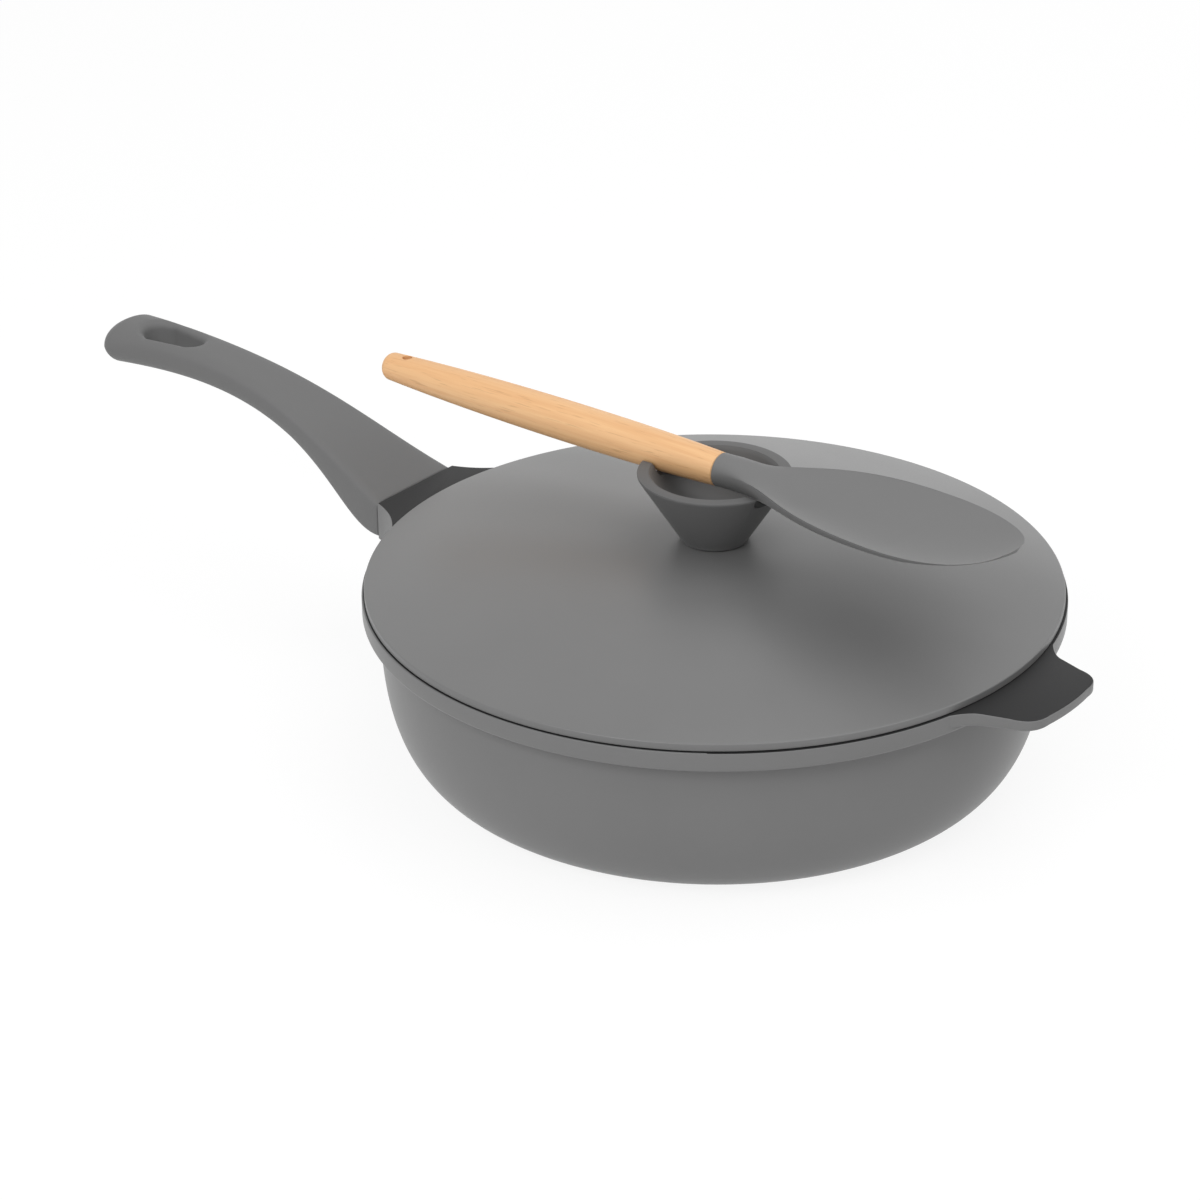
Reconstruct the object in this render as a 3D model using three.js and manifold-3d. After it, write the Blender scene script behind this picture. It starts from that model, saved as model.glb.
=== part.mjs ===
// Braising pan with a domed lid whose cup-shaped knob holds a spoon across its rim.
// Millimetres, +Z up. The origin is the middle of the flat base. The long handle points along -X,
// the short helper handle along +X, and the spoon lies over both.

import * as THREE from 'three';
import { mergeVertices } from 'three/addons/utils/BufferGeometryUtils.js';
import Module from 'manifold-3d';

const wasm = await Module();
wasm.setup();

// Pan casting
const RIM_HEIGHT = 76.9;
const RIM_OVERHANG = 7.1;
const RIM_BAND_HEIGHT = 8.2;
const RIM_EDGE_ROUND = 0.4;
const RIM_FOOT_ROUND = 1;
const WALL_RADIUS = 138.5;
const BASE_RADIUS = 100;
const BASE_FULLNESS = 2.9;
const WALL_FULLNESS = 2.6;
const WALL_THICKNESS = 3.2;
const FLOOR_THICKNESS = 4.5;

// Helper handle, cast level with the rim
const HELPER_REACH = 26.6;
const HELPER_ROOT_HALF_WIDTH = 38;
const HELPER_SIDE_HALF_WIDTH = 29;
const HELPER_TIP_HALF_WIDTH = 25;
const HELPER_SIDE_START = 5;
const HELPER_ROOT_SWEEP = 1;
const HELPER_CORNER = 10;
const HELPER_CORNER_PULL = 2;
const HELPER_END_BOW = 1;
const HELPER_THICKNESS = 5.6;
const HELPER_TIP_THICKNESS = 4.2;

// Boss that carries the long handle
const BOSS_REACH = 17.2;
const BOSS_HALF_WIDTH = 25;
const BOSS_ROOT_HALF_WIDTH = 46;
const BOSS_FLARE = 6;
const BOSS_DEPTH = 17.5;
const CAST_EDGE_ROUND = 0.5;
const TENON_LENGTH = 22;
const TENON_WIDTH = 22;
const TENON_HEIGHT = 7;
const TENON_BELOW_RIM = 1.8;

// Long handle
const HANDLE_LENGTH = 180;
const HANDLE_END_RISE = 34.5;
const HANDLE_TOP_PULLS = [[60, 24.5], [112, 41.5]];
const HANDLE_END_THICKNESS = 18;
const HANDLE_UNDER_PULLS = [[35, -22], [52, 40]];
const HANDLE_END_HALF_WIDTH = 17;
const HANDLE_WIDTH_PULLS = [[45, 17], [85, 11.5]];
const HANDLE_BOSS_SQUARENESS = 8;
const HANDLE_TIP_SQUARENESS = 2.6;
const HANDLE_TIP_ROUND = 20;
const HANDLE_TIP_BLUNTNESS = 3;
const HANDLE_UNDER_TAPER = 0.16;
const HANDLE_TAPER_RUN_IN = 60;
const HANDLE_SEAM = 0.5;
const HANG_SLOT_LENGTH = 35.8;
const HANG_SLOT_TIP_RADIUS = 7.2;
const HANG_SLOT_PAN_RADIUS = 5;
const HANG_SLOT_FROM_TIP = 20.5;

// Lid
const LID_SETBACK = 1.1;
const LID_EDGE_HEIGHT = 3.3;
const LID_EDGE_ROUND = 1.1;
const LID_FOOT_ROUND = 0.4;
const LID_RISE = 17.4;
const LID_THICKNESS = 2.8;
const LID_RING_HEIGHT = 6;
const LID_RING_THICKNESS = 2.6;
const LID_SEAT_RADIUS = 15;

// Knob
const KNOB_HEIGHT = 29.4;
const KNOB_RADIUS = 32;
const KNOB_RIM_WIDTH = 5.6;
const KNOB_RIM_ROUND = 0.6;
const KNOB_NECK_HEIGHT = 1.5;
const KNOB_NECK_RADIUS = 14.7;
const KNOB_FOOT_RADIUS = 14.4;
const KNOB_CUP_DEPTH = 17;
const KNOB_CUP_FLOOR_RADIUS = 6.5;
const KNOB_CUP_FLOOR_SWEEP = 9;
const KNOB_CUP_WALL_SWEEP = 7;
const KNOB_CUP_WALL_LEAN = 3;
const NOTCH_SIDE_CLEARANCE = 0.6;
const NOTCH_CORNER = 5;

// Spoon
const SPOON_AXIS_ABOVE_KNOB = 2;
const SPOON_TILT = THREE.MathUtils.degToRad(0.2);
const SPOON_JOINT_FROM_KNOB_AXIS = 3.1;
const SPOON_HANDLE_LENGTH = 180;
const SPOON_JOINT_RADIUS = 7.1;
const SPOON_HANDLE_END_RADIUS = 5.9;
const SPOON_BELLY_PULLS = [[120, 9.5], [40, 9.2]];
const SPOON_HOLE_DIAMETER = 5;
const SPOON_HOLE_FROM_END = 12;
const SPOON_HEAD_LENGTH = 140;
const SPOON_BOWL_HALF_WIDTH = 32.1;
const SPOON_BOWL_TIP_LENGTH = 50;
const SPOON_FLARE_FROM_JOINT = [35, 44];
const SPOON_EDGE_PULLS = [[45, 9.5], [95, -1]];
const SPOON_UNDER_PULLS = [[40, -6.2], [100, -9]];
const SPOON_DISH_FROM_JOINT = [6, 48];
const SPOON_TIP_RISE = 7;
const SPOON_TIP_THICKNESS = 2.4;
const SPOON_BOWL_DEPTH = 7;
const SPOON_CORE_DIAMETER = 5;
const SPOON_CORE_CHAMFER = 1;
const SPOON_CORE_IN_WOOD = 40;
const SPOON_CORE_IN_HEAD = 17;

// Fasteners
const SCREW_DIAMETER = 4.8;
const SCREW_HEAD_DIAMETER = 9.4;
const SCREW_HEAD_HEIGHT = 3;
const SCREW_HEAD_ROUND = 1;
const SCREW_CHAMFER = 0.5;
const SCREW_SOCKET = 4;
const SCREW_SOCKET_DEPTH = 1.8;
const SPRING_WASHER_DIAMETER = 8.8;
const SPRING_WASHER_THICKNESS = 1.3;
const SPRING_WASHER_SLIT = 1;
const FLAT_WASHER_DIAMETER = 18;
const FLAT_WASHER_THICKNESS = 1.2;
const HANDLE_SCREW_FROM_SEAM = 11;
const HANDLE_SCREW_SHELF = 3.4;
const INSERT_DIAMETER = 8;
const INSERT_LENGTH = 7.5;

// Clearances
const SEAT_GAP = 0.3;
const LID_RING_CLEARANCE = 0.8;
const HOLE_CLEARANCE = 0.35;

// Facets round each turned piece, and sections along each lofted one
const PAN_FACETS = 56;
const KNOB_FACETS = 48;
const SPOON_FACETS = 20;
const SMALL_FACETS = 16;
const HEX_FACETS = 6;
const SECTION_POINTS = 24;
const CURVE_POINTS = 6;
const CORNER_POINTS = 3;
const EDGE_POINTS = 2;
const WALL_POINTS = 12;
const DOME_POINTS = 8;
const ROUND_END_POINTS = 5;
const SLOT_END_POINTS = 10;
const MERGE_DISTANCE = 1e-4;
const CURVE_HALVINGS = 40;
const LENGTH_SECTIONS = 18;
const TIP_SECTIONS = 8;
const TIP_CLOSE = 0.97;
const CUT_MARGIN = 2;

const COATED_GREY = { color: 0x6f6f6f, roughness: 0.55, metalness: 0.1 };
const HANDLE_GREY = { color: 0x6c6c6c, roughness: 0.65, metalness: 0 };
const KNOB_GREY = { color: 0x646464, roughness: 0.6, metalness: 0 };
const STEEL = { color: 0xb4b7ba, roughness: 0.35, metalness: 1 };
const BRASS = { color: 0xb5924c, roughness: 0.4, metalness: 1 };
const BEECH = { color: 0xd9a066, roughness: 0.6, metalness: 0 };
const SILICONE = { color: 0x6a6a6a, roughness: 0.7, metalness: 0 };
const NYLON = { color: 0x3a3a3a, roughness: 0.6, metalness: 0 };

// Heights and reaches that several pieces share
const rimRadius = WALL_RADIUS + RIM_OVERHANG;
const mouthRadius = WALL_RADIUS - WALL_THICKNESS;
const lidRadius = rimRadius - LID_SETBACK;
const lidBottom = RIM_HEIGHT + SEAT_GAP;
const lidTop = lidBottom + LID_EDGE_HEIGHT + LID_RISE;
const lidUnderside = lidTop - LID_THICKNESS;
const knobFoot = lidTop + SEAT_GAP;
const knobTop = knobFoot + KNOB_HEIGHT;
const bossFace = -(rimRadius + BOSS_REACH);
const seamFace = bossFace - HANDLE_SEAM;
const tenonTop = RIM_HEIGHT - TENON_BELOW_RIM;
const tenonBottom = tenonTop - TENON_HEIGHT;
const bossBottom = RIM_HEIGHT - BOSS_DEPTH;
const screwHole = SCREW_DIAMETER / 2 + HOLE_CLEARANCE;
const handleScrewX = seamFace - HANDLE_SCREW_FROM_SEAM;
const handleShelf = tenonBottom - SEAT_GAP - HANDLE_SCREW_SHELF;

const v2 = (x, y) => new THREE.Vector2(x, y);
const v3 = (x, y, z) => new THREE.Vector3(x, y, z);
const signedPower = (value, power) => Math.sign(value) * Math.abs(value) ** power;

/** A closed geometry as a solid that can be joined and cut. */
function solid(geometry) {
  const bare = geometry.index ? geometry.toNonIndexed() : geometry.clone();
  bare.deleteAttribute('normal');
  bare.deleteAttribute('uv');
  const merged = mergeVertices(bare, MERGE_DISTANCE);
  const corners = merged.index.array;
  const kept = [];
  for (let i = 0; i < corners.length; i += 3) {
    const [a, b, c] = corners.slice(i, i + 3);
    if (a !== b && b !== c && c !== a) kept.push(a, b, c);
  }
  return new wasm.Manifold(new wasm.Mesh({
    numProp: 3,
    vertProperties: new Float32Array(merged.attributes.position.array),
    triVerts: new Uint32Array(kept),
  }));
}

/** A named mesh of a solid. */
function piece(name, body, finish) {
  const { vertProperties, triVerts } = body.getMesh();
  const geometry = new THREE.BufferGeometry();
  geometry.setAttribute('position', new THREE.BufferAttribute(new Float32Array(vertProperties), 3));
  geometry.setIndex(new THREE.BufferAttribute(new Uint32Array(triVerts), 1));
  geometry.computeVertexNormals();
  const mesh = new THREE.Mesh(geometry, new THREE.MeshStandardMaterial(finish));
  mesh.name = name;
  return mesh;
}

/** A profile of (radius, height) points, outside upwards, turned round Z. */
function turned(profile, facets) {
  return new THREE.LatheGeometry(profile, facets).rotateX(Math.PI / 2);
}

/** A closed ring of (radius, height) points turned round Z. */
function turnedRing(profile, facets) {
  return turned([...profile, profile[0]], facets);
}

/** A skin over rings of equal point count, closed by flat ends. */
function loft(rings) {
  const size = rings[0].length;
  const points = rings.flat();
  const faces = [];
  for (let r = 0; r + 1 < rings.length; r += 1) {
    for (let i = 0; i < size; i += 1) {
      const a = r * size + i;
      const b = r * size + (i + 1) % size;
      faces.push(a, b, b + size, a, b + size, a + size);
    }
  }
  const cap = (ring, flip) => {
    const middle = rings[ring].reduce((sum, p) => sum.add(p), v3(0, 0, 0)).divideScalar(size);
    const hub = points.push(middle) - 1;
    for (let i = 0; i < size; i += 1) {
      const a = ring * size + i;
      const b = ring * size + (i + 1) % size;
      faces.push(...(flip ? [hub, b, a] : [hub, a, b]));
    }
  };
  cap(0, true);
  cap(rings.length - 1, false);
  const geometry = new THREE.BufferGeometry().setFromPoints(points);
  geometry.setIndex(faces);
  return geometry;
}

/** Points of a rounded corner: a quarter arc from one angle to another. */
function corner(x, y, radius, from, to, steps = CORNER_POINTS) {
  return Array.from({ length: steps + 1 }, (_, i) => {
    const angle = THREE.MathUtils.degToRad(from + (to - from) * i / steps);
    return v2(x + radius * Math.cos(angle), y + radius * Math.sin(angle));
  });
}

/** A plan outline that is the same on both sides of the X axis, from one side's points. */
function mirroredOutline(half) {
  const other = half.map((p) => v2(p.x, -p.y)).reverse();
  return new THREE.Shape([...half, ...other]);
}

/** A plan outline raised from a height, with softened edges. */
function slab(shape, bottom, height, round) {
  return new THREE.ExtrudeGeometry(shape, {
    depth: height - 2 * round,
    bevelThickness: round,
    bevelSize: round,
    bevelOffset: -round,
    bevelSegments: EDGE_POINTS,
  }).translate(0, 0, bottom + round);
}

/** A plain hole or shank along Z. */
function post(radius, bottom, top, facets = SMALL_FACETS) {
  return new THREE.CylinderGeometry(radius, radius, top - bottom, facets)
    .rotateX(Math.PI / 2).translate(0, 0, (bottom + top) / 2);
}

/** A box between two corners. */
function block(low, high) {
  return new THREE.BoxGeometry(high.x - low.x, high.y - low.y, high.z - low.z)
    .translate((low.x + high.x) / 2, (low.y + high.y) / 2, (low.z + high.z) / 2);
}

/** The second coordinate of a curve where its first has a given value. */
function curveAt(curve, first) {
  let low = 0;
  let high = 1;
  for (let i = 0; i < CURVE_HALVINGS; i += 1) {
    const middle = (low + high) / 2;
    if (curve.getPoint(middle).x < first) low = middle;
    else high = middle;
  }
  return curve.getPoint(low).y;
}

/** Places along a lofted piece: even to the start of its round tip, then closer and closer. */
function sections(start, end, tipLength) {
  const even = Array.from({ length: LENGTH_SECTIONS }, (_, i) => (
    THREE.MathUtils.lerp(start, end - tipLength, i / LENGTH_SECTIONS)));
  const tip = Array.from({ length: TIP_SECTIONS + 1 }, (_, i) => (
    end - tipLength + tipLength * Math.sin(Math.PI / 2 * TIP_CLOSE * i / TIP_SECTIONS)));
  return [...even, ...tip];
}

/** A cubic curve through its first and last of four points. */
function bezier(...points) {
  return new THREE.CubicBezierCurve(...points.map(([x, y]) => v2(x, y)));
}

/** A rounded bowl wall from the edge of a floor up to a rim. */
function bowlWall(floorRadius, floor, topRadius, rim) {
  return Array.from({ length: WALL_POINTS + 1 }, (_, i) => {
    const angle = Math.PI / 2 * i / WALL_POINTS;
    const out = Math.sin(angle) ** (2 / BASE_FULLNESS);
    const up = 1 - Math.cos(angle) ** (2 / WALL_FULLNESS);
    return v2(floorRadius + (topRadius - floorRadius) * out, floor + (rim - floor) * up);
  });
}

/** Pan casting: bowl, rim band, helper handle, boss and tenon. */
function panBody() {
  const bandBottom = RIM_HEIGHT - RIM_BAND_HEIGHT;
  const outside = turned([
    v2(0, 0),
    ...bowlWall(BASE_RADIUS, 0, WALL_RADIUS, bandBottom),
    ...corner(rimRadius - RIM_FOOT_ROUND, bandBottom + RIM_FOOT_ROUND, RIM_FOOT_ROUND, -90, 0),
    ...corner(rimRadius - RIM_EDGE_ROUND, RIM_HEIGHT - RIM_EDGE_ROUND, RIM_EDGE_ROUND, 0, 90),
    v2(0, RIM_HEIGHT),
  ], PAN_FACETS);
  const cavity = turned([
    v2(0, FLOOR_THICKNESS),
    ...bowlWall(BASE_RADIUS - WALL_THICKNESS, FLOOR_THICKNESS, mouthRadius, RIM_HEIGHT),
    v2(mouthRadius, RIM_HEIGHT + CUT_MARGIN),
    v2(0, RIM_HEIGHT + CUT_MARGIN),
  ], PAN_FACETS);
  const tenon = block(
    v3(bossFace - TENON_LENGTH, -TENON_WIDTH / 2, tenonBottom),
    v3(bossFace + CUT_MARGIN, TENON_WIDTH / 2, tenonTop),
  );
  const screwPass = post(screwHole, tenonBottom - CUT_MARGIN, tenonTop + CUT_MARGIN)
    .translate(handleScrewX, 0, 0);
  return solid(outside).add(solid(helperHandle())).add(solid(handleBoss())).subtract(solid(cavity))
    .add(solid(tenon)).subtract(solid(screwPass));
}

/** Helper handle: a flat tab with swept roots, a bowed end and an underside that thins to the tip. */
function helperHandle() {
  const root = Math.sqrt(rimRadius ** 2 - HELPER_ROOT_HALF_WIDTH ** 2);
  const end = rimRadius + HELPER_REACH;
  const side = rimRadius + HELPER_SIDE_START;
  const cornerEnd = HELPER_TIP_HALF_WIDTH - HELPER_CORNER;
  const half = new THREE.Path();
  half.moveTo(mouthRadius - CUT_MARGIN, HELPER_ROOT_HALF_WIDTH);
  half.lineTo(root, HELPER_ROOT_HALF_WIDTH);
  half.quadraticCurveTo(rimRadius, HELPER_SIDE_HALF_WIDTH + HELPER_ROOT_SWEEP, side, HELPER_SIDE_HALF_WIDTH);
  half.lineTo(end - HELPER_CORNER, HELPER_TIP_HALF_WIDTH);
  half.quadraticCurveTo(end - HELPER_END_BOW, HELPER_TIP_HALF_WIDTH - HELPER_CORNER_PULL,
    end - HELPER_END_BOW, cornerEnd);
  half.quadraticCurveTo(end, cornerEnd / 2, end, 0);
  const outline = mirroredOutline(half.getPoints(CURVE_POINTS).slice(0, -1));
  const tab = slab(outline, RIM_HEIGHT - HELPER_THICKNESS, HELPER_THICKNESS, CAST_EDGE_ROUND);
  const place = tab.attributes.position;
  for (let i = 0; i < place.count; i += 1) {
    const along = THREE.MathUtils.clamp((place.getX(i) - rimRadius) / HELPER_REACH, 0, 1);
    const thinner = THREE.MathUtils.lerp(1, HELPER_TIP_THICKNESS / HELPER_THICKNESS, along);
    place.setZ(i, RIM_HEIGHT - (RIM_HEIGHT - place.getZ(i)) * thinner);
  }
  return tab;
}

/** Boss: a block that flares into the rim and ends in the flat face that the handle meets. */
function handleBoss() {
  const root = Math.sqrt(rimRadius ** 2 - BOSS_ROOT_HALF_WIDTH ** 2);
  const half = new THREE.Path();
  half.moveTo(-(mouthRadius - BOSS_FLARE), BOSS_ROOT_HALF_WIDTH);
  half.lineTo(-root, BOSS_ROOT_HALF_WIDTH);
  half.quadraticCurveTo(-rimRadius, BOSS_HALF_WIDTH + BOSS_FLARE, bossFace, BOSS_HALF_WIDTH);
  const outline = mirroredOutline(half.getPoints(CURVE_POINTS));
  return slab(outline, bossBottom, BOSS_DEPTH, CAST_EDGE_ROUND);
}

// Side view of the long handle: distance from the seam, height over the rim
const handleTop = bezier([0, 0], ...HANDLE_TOP_PULLS, [HANDLE_LENGTH, HANDLE_END_RISE]);
const handleUnder = bezier([0, -BOSS_DEPTH], ...HANDLE_UNDER_PULLS,
  [HANDLE_LENGTH, HANDLE_END_RISE - HANDLE_END_THICKNESS]);
const handleWidth = bezier([0, BOSS_HALF_WIDTH], ...HANDLE_WIDTH_PULLS,
  [HANDLE_LENGTH, HANDLE_END_HALF_WIDTH]);

/** One cross-section of the long handle: boxy at the boss, rounder towards the tip. */
function handleSection(along) {
  const top = curveAt(handleTop, along);
  const under = curveAt(handleUnder, along);
  const intoTip = Math.max(0, along - (HANDLE_LENGTH - HANDLE_TIP_ROUND)) / HANDLE_TIP_ROUND;
  const tip = (1 - intoTip ** HANDLE_TIP_BLUNTNESS) ** (1 / HANDLE_TIP_BLUNTNESS);
  const halfWidth = curveAt(handleWidth, along) * tip;
  const halfHeight = (top - under) / 2 * tip;
  const toTip = along / HANDLE_LENGTH;
  const roundness = 2 / THREE.MathUtils.lerp(HANDLE_BOSS_SQUARENESS, HANDLE_TIP_SQUARENESS, toTip);
  const taper = HANDLE_UNDER_TAPER * Math.min(1, along / HANDLE_TAPER_RUN_IN);
  return Array.from({ length: SECTION_POINTS }, (_, i) => {
    const angle = 2 * Math.PI * (i + 0.5) / SECTION_POINTS;
    const up = signedPower(Math.sin(angle), roundness);
    const narrower = 1 - taper * Math.max(0, -up);
    const across = halfWidth * signedPower(Math.cos(angle), roundness) * narrower;
    return v3(seamFace - along, across, RIM_HEIGHT + (top + under) / 2 + halfHeight * up);
  });
}

/** Long handle with its tenon socket, screw recess and tapered hanging slot. */
function longHandle() {
  const stations = sections(0, HANDLE_LENGTH, HANDLE_TIP_ROUND);
  const grip = loft(stations.map((along) => handleSection(along).reverse()));
  const socket = block(
    v3(bossFace - TENON_LENGTH - SEAT_GAP, -TENON_WIDTH / 2 - SEAT_GAP, tenonBottom - SEAT_GAP),
    v3(bossFace, TENON_WIDTH / 2 + SEAT_GAP, tenonTop + SEAT_GAP),
  );
  const shank = post(screwHole, bossBottom - BOSS_DEPTH, tenonTop).translate(handleScrewX, 0, 0);
  const recess = post(SCREW_HEAD_DIAMETER / 2 + HOLE_CLEARANCE, bossBottom - BOSS_DEPTH, handleShelf)
    .translate(handleScrewX, 0, 0);
  const slotTip = seamFace - HANDLE_LENGTH + HANG_SLOT_FROM_TIP + HANG_SLOT_TIP_RADIUS;
  const slotPan = slotTip + HANG_SLOT_LENGTH - HANG_SLOT_TIP_RADIUS - HANG_SLOT_PAN_RADIUS;
  const slot = new THREE.Shape([
    ...corner(slotTip, 0, HANG_SLOT_TIP_RADIUS, 90, 270, SLOT_END_POINTS),
    ...corner(slotPan, 0, HANG_SLOT_PAN_RADIUS, -90, 90, SLOT_END_POINTS),
  ]);
  const slotCut = new THREE.ExtrudeGeometry(slot, { depth: HANDLE_LENGTH, bevelEnabled: false })
    .translate(0, 0, bossBottom - BOSS_DEPTH);
  return solid(grip).subtract(solid(socket)).subtract(solid(shank)).subtract(solid(recess))
    .subtract(solid(slotCut));
}

/** A pan-head screw along Z with its head down, its bearing face at a height, and a hex socket. */
function screw(bearing, tip) {
  const headRadius = SCREW_HEAD_DIAMETER / 2;
  const bottom = bearing - SCREW_HEAD_HEIGHT;
  const shape = turned([
    v2(0, bottom),
    ...corner(headRadius - SCREW_HEAD_ROUND, bottom + SCREW_HEAD_ROUND, SCREW_HEAD_ROUND, -90, 0),
    v2(headRadius, bearing),
    v2(SCREW_DIAMETER / 2, bearing),
    v2(SCREW_DIAMETER / 2, tip - SCREW_CHAMFER),
    v2(SCREW_DIAMETER / 2 - SCREW_CHAMFER, tip),
    v2(0, tip),
  ], SMALL_FACETS);
  const socket = post(SCREW_SOCKET / 2, bottom - CUT_MARGIN, bottom + SCREW_SOCKET_DEPTH, HEX_FACETS);
  return solid(shape).subtract(solid(socket));
}

/** A flat ring along Z. */
function washer(diameter, bottom, thickness) {
  return solid(turnedRing([
    v2(screwHole, bottom),
    v2(diameter / 2, bottom),
    v2(diameter / 2, bottom + thickness),
    v2(screwHole, bottom + thickness),
  ], SMALL_FACETS));
}

/** A split lock washer: a ring cut through on one side. */
function springWasher(bottom) {
  const slit = block(
    v3(0, -SPRING_WASHER_SLIT / 2, bottom - CUT_MARGIN),
    v3(SPRING_WASHER_DIAMETER, SPRING_WASHER_SLIT / 2, bottom + SPRING_WASHER_THICKNESS + CUT_MARGIN),
  );
  return washer(SPRING_WASHER_DIAMETER, bottom, SPRING_WASHER_THICKNESS).subtract(solid(slit));
}

/** A dome line from the edge of the knob's seat down to the lid's edge. */
function dome(seat, edgeRadius, edgeHeight, top) {
  return Array.from({ length: DOME_POINTS + 1 }, (_, i) => {
    const radius = seat + (edgeRadius - seat) * i / DOME_POINTS;
    const drop = (radius ** 2 - seat ** 2) / (edgeRadius ** 2 - seat ** 2);
    return v2(radius, top - (top - edgeHeight) * drop);
  });
}

/** Domed lid with an upright edge, a locating ring underneath and a flat seat for the knob. */
function lidShell() {
  const edgeTop = lidBottom + LID_EDGE_HEIGHT;
  const ringOuter = mouthRadius - LID_RING_CLEARANCE;
  const ringInner = ringOuter - LID_RING_THICKNESS;
  const over = dome(LID_SEAT_RADIUS, lidRadius - LID_EDGE_ROUND, edgeTop, lidTop);
  const under = dome(LID_SEAT_RADIUS, ringInner, edgeTop - LID_THICKNESS + LID_EDGE_ROUND, lidUnderside);
  return solid(turnedRing([
    v2(screwHole, lidUnderside),
    ...under,
    v2(ringInner, lidBottom - LID_RING_HEIGHT),
    v2(ringOuter - LID_RING_CLEARANCE, lidBottom - LID_RING_HEIGHT),
    v2(ringOuter, lidBottom - LID_RING_HEIGHT + LID_RING_CLEARANCE),
    v2(ringOuter, lidBottom),
    ...corner(lidRadius - LID_FOOT_ROUND, lidBottom + LID_FOOT_ROUND, LID_FOOT_ROUND, -90, 0, EDGE_POINTS),
    ...corner(lidRadius - LID_EDGE_ROUND, edgeTop - LID_EDGE_ROUND, LID_EDGE_ROUND, 0, 80, EDGE_POINTS),
    ...over.reverse(),
    v2(screwHole, lidTop),
  ], PAN_FACETS));
}

/** Knob: a cone-shaped cup on a short neck, with a notch for the spoon on either side. */
function lidKnob() {
  const insertRadius = INSERT_DIAMETER / 2 + SEAT_GAP;
  const insertTop = knobFoot + INSERT_LENGTH + SEAT_GAP;
  const cupFloor = knobTop - KNOB_CUP_DEPTH;
  const rimInner = KNOB_RADIUS - KNOB_RIM_WIDTH;
  const wall = bezier(
    [KNOB_CUP_FLOOR_RADIUS, cupFloor],
    [KNOB_CUP_FLOOR_RADIUS + KNOB_CUP_FLOOR_SWEEP, cupFloor],
    [rimInner - KNOB_CUP_WALL_LEAN, knobTop - KNOB_CUP_WALL_SWEEP],
    [rimInner, knobTop],
  );
  const cup = solid(turned([
    v2(0, insertTop),
    v2(insertRadius, insertTop),
    v2(insertRadius, knobFoot),
    v2(KNOB_FOOT_RADIUS, knobFoot),
    v2(KNOB_NECK_RADIUS, knobFoot + KNOB_NECK_HEIGHT),
    v2(KNOB_RADIUS - KNOB_RIM_ROUND / 2, knobTop - 2 * KNOB_RIM_ROUND),
    v2(KNOB_RADIUS, knobTop - KNOB_RIM_ROUND),
    v2(KNOB_RADIUS - KNOB_RIM_ROUND, knobTop),
    ...wall.getPoints(DOME_POINTS).reverse(),
    v2(0, cupFloor),
  ], KNOB_FACETS));
  return cup.subtract(solid(notchCut(-1))).subtract(solid(notchCut(1)));
}

/** Notch in the knob's rim: a rounded trough that fits round the spoon where it crosses. */
function notchCut(side) {
  const reach = KNOB_RADIUS + CUT_MARGIN;
  const rim = [KNOB_RADIUS, KNOB_RADIUS - KNOB_RIM_WIDTH];
  const floor = Math.min(...rim.map((radius) => spoonUnderside(side * radius))) - SEAT_GAP;
  const halfWidth = Math.max(...rim.map((radius) => spoonHalfWidth(side * radius))) + NOTCH_SIDE_CLEARANCE;
  const trough = new THREE.Shape([
    v2(-halfWidth, knobTop + CUT_MARGIN),
    ...corner(-halfWidth + NOTCH_CORNER, floor + NOTCH_CORNER, NOTCH_CORNER, 180, 270),
    ...corner(halfWidth - NOTCH_CORNER, floor + NOTCH_CORNER, NOTCH_CORNER, 270, 360),
    v2(halfWidth, knobTop + CUT_MARGIN),
  ]);
  const cut = new THREE.ExtrudeGeometry(trough, { depth: reach, bevelEnabled: false });
  return cut.rotateX(Math.PI / 2).rotateZ(Math.PI / 2 * side);
}

/** Threaded insert in the knob's foot. */
function knobInsert() {
  const bottom = knobFoot + SEAT_GAP;
  return solid(turnedRing([
    v2(screwHole, bottom),
    v2(INSERT_DIAMETER / 2, bottom),
    v2(INSERT_DIAMETER / 2, knobFoot + INSERT_LENGTH),
    v2(screwHole, knobFoot + INSERT_LENGTH),
  ], SMALL_FACETS));
}

// Side view and plan of the spoon, along its own axis from the joint of wood and head
const handleRadius = bezier(
  [-SPOON_HANDLE_LENGTH, SPOON_HANDLE_END_RADIUS],
  ...SPOON_BELLY_PULLS.map(([fromJoint, radius]) => [-fromJoint, radius]),
  [0, SPOON_JOINT_RADIUS],
);
const headWidestAt = SPOON_HEAD_LENGTH - SPOON_BOWL_TIP_LENGTH;
const headFlare = bezier(
  [0, SPOON_JOINT_RADIUS],
  [SPOON_FLARE_FROM_JOINT[0], SPOON_JOINT_RADIUS],
  [SPOON_FLARE_FROM_JOINT[1], SPOON_BOWL_HALF_WIDTH],
  [headWidestAt, SPOON_BOWL_HALF_WIDTH],
);
const headEdge = bezier([0, 0], ...SPOON_EDGE_PULLS, [SPOON_HEAD_LENGTH, SPOON_TIP_RISE]);
const headUnder = bezier([0, -SPOON_JOINT_RADIUS], ...SPOON_UNDER_PULLS,
  [SPOON_HEAD_LENGTH, SPOON_TIP_RISE - SPOON_TIP_THICKNESS]);

/** Half width of the spoon head at a distance from the joint. */
function headHalfWidth(along) {
  if (along <= headWidestAt) return curveAt(headFlare, along);
  const intoTip = (along - headWidestAt) / SPOON_BOWL_TIP_LENGTH;
  return SPOON_BOWL_HALF_WIDTH * Math.sqrt(Math.max(0, 1 - intoTip ** 2));
}

/** Height of the spoon's axis over the knob's top, at a distance from the knob's axis along X. */
function spoonAxisRise(x) {
  return SPOON_AXIS_ABOVE_KNOB - x * Math.tan(SPOON_TILT);
}

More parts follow.
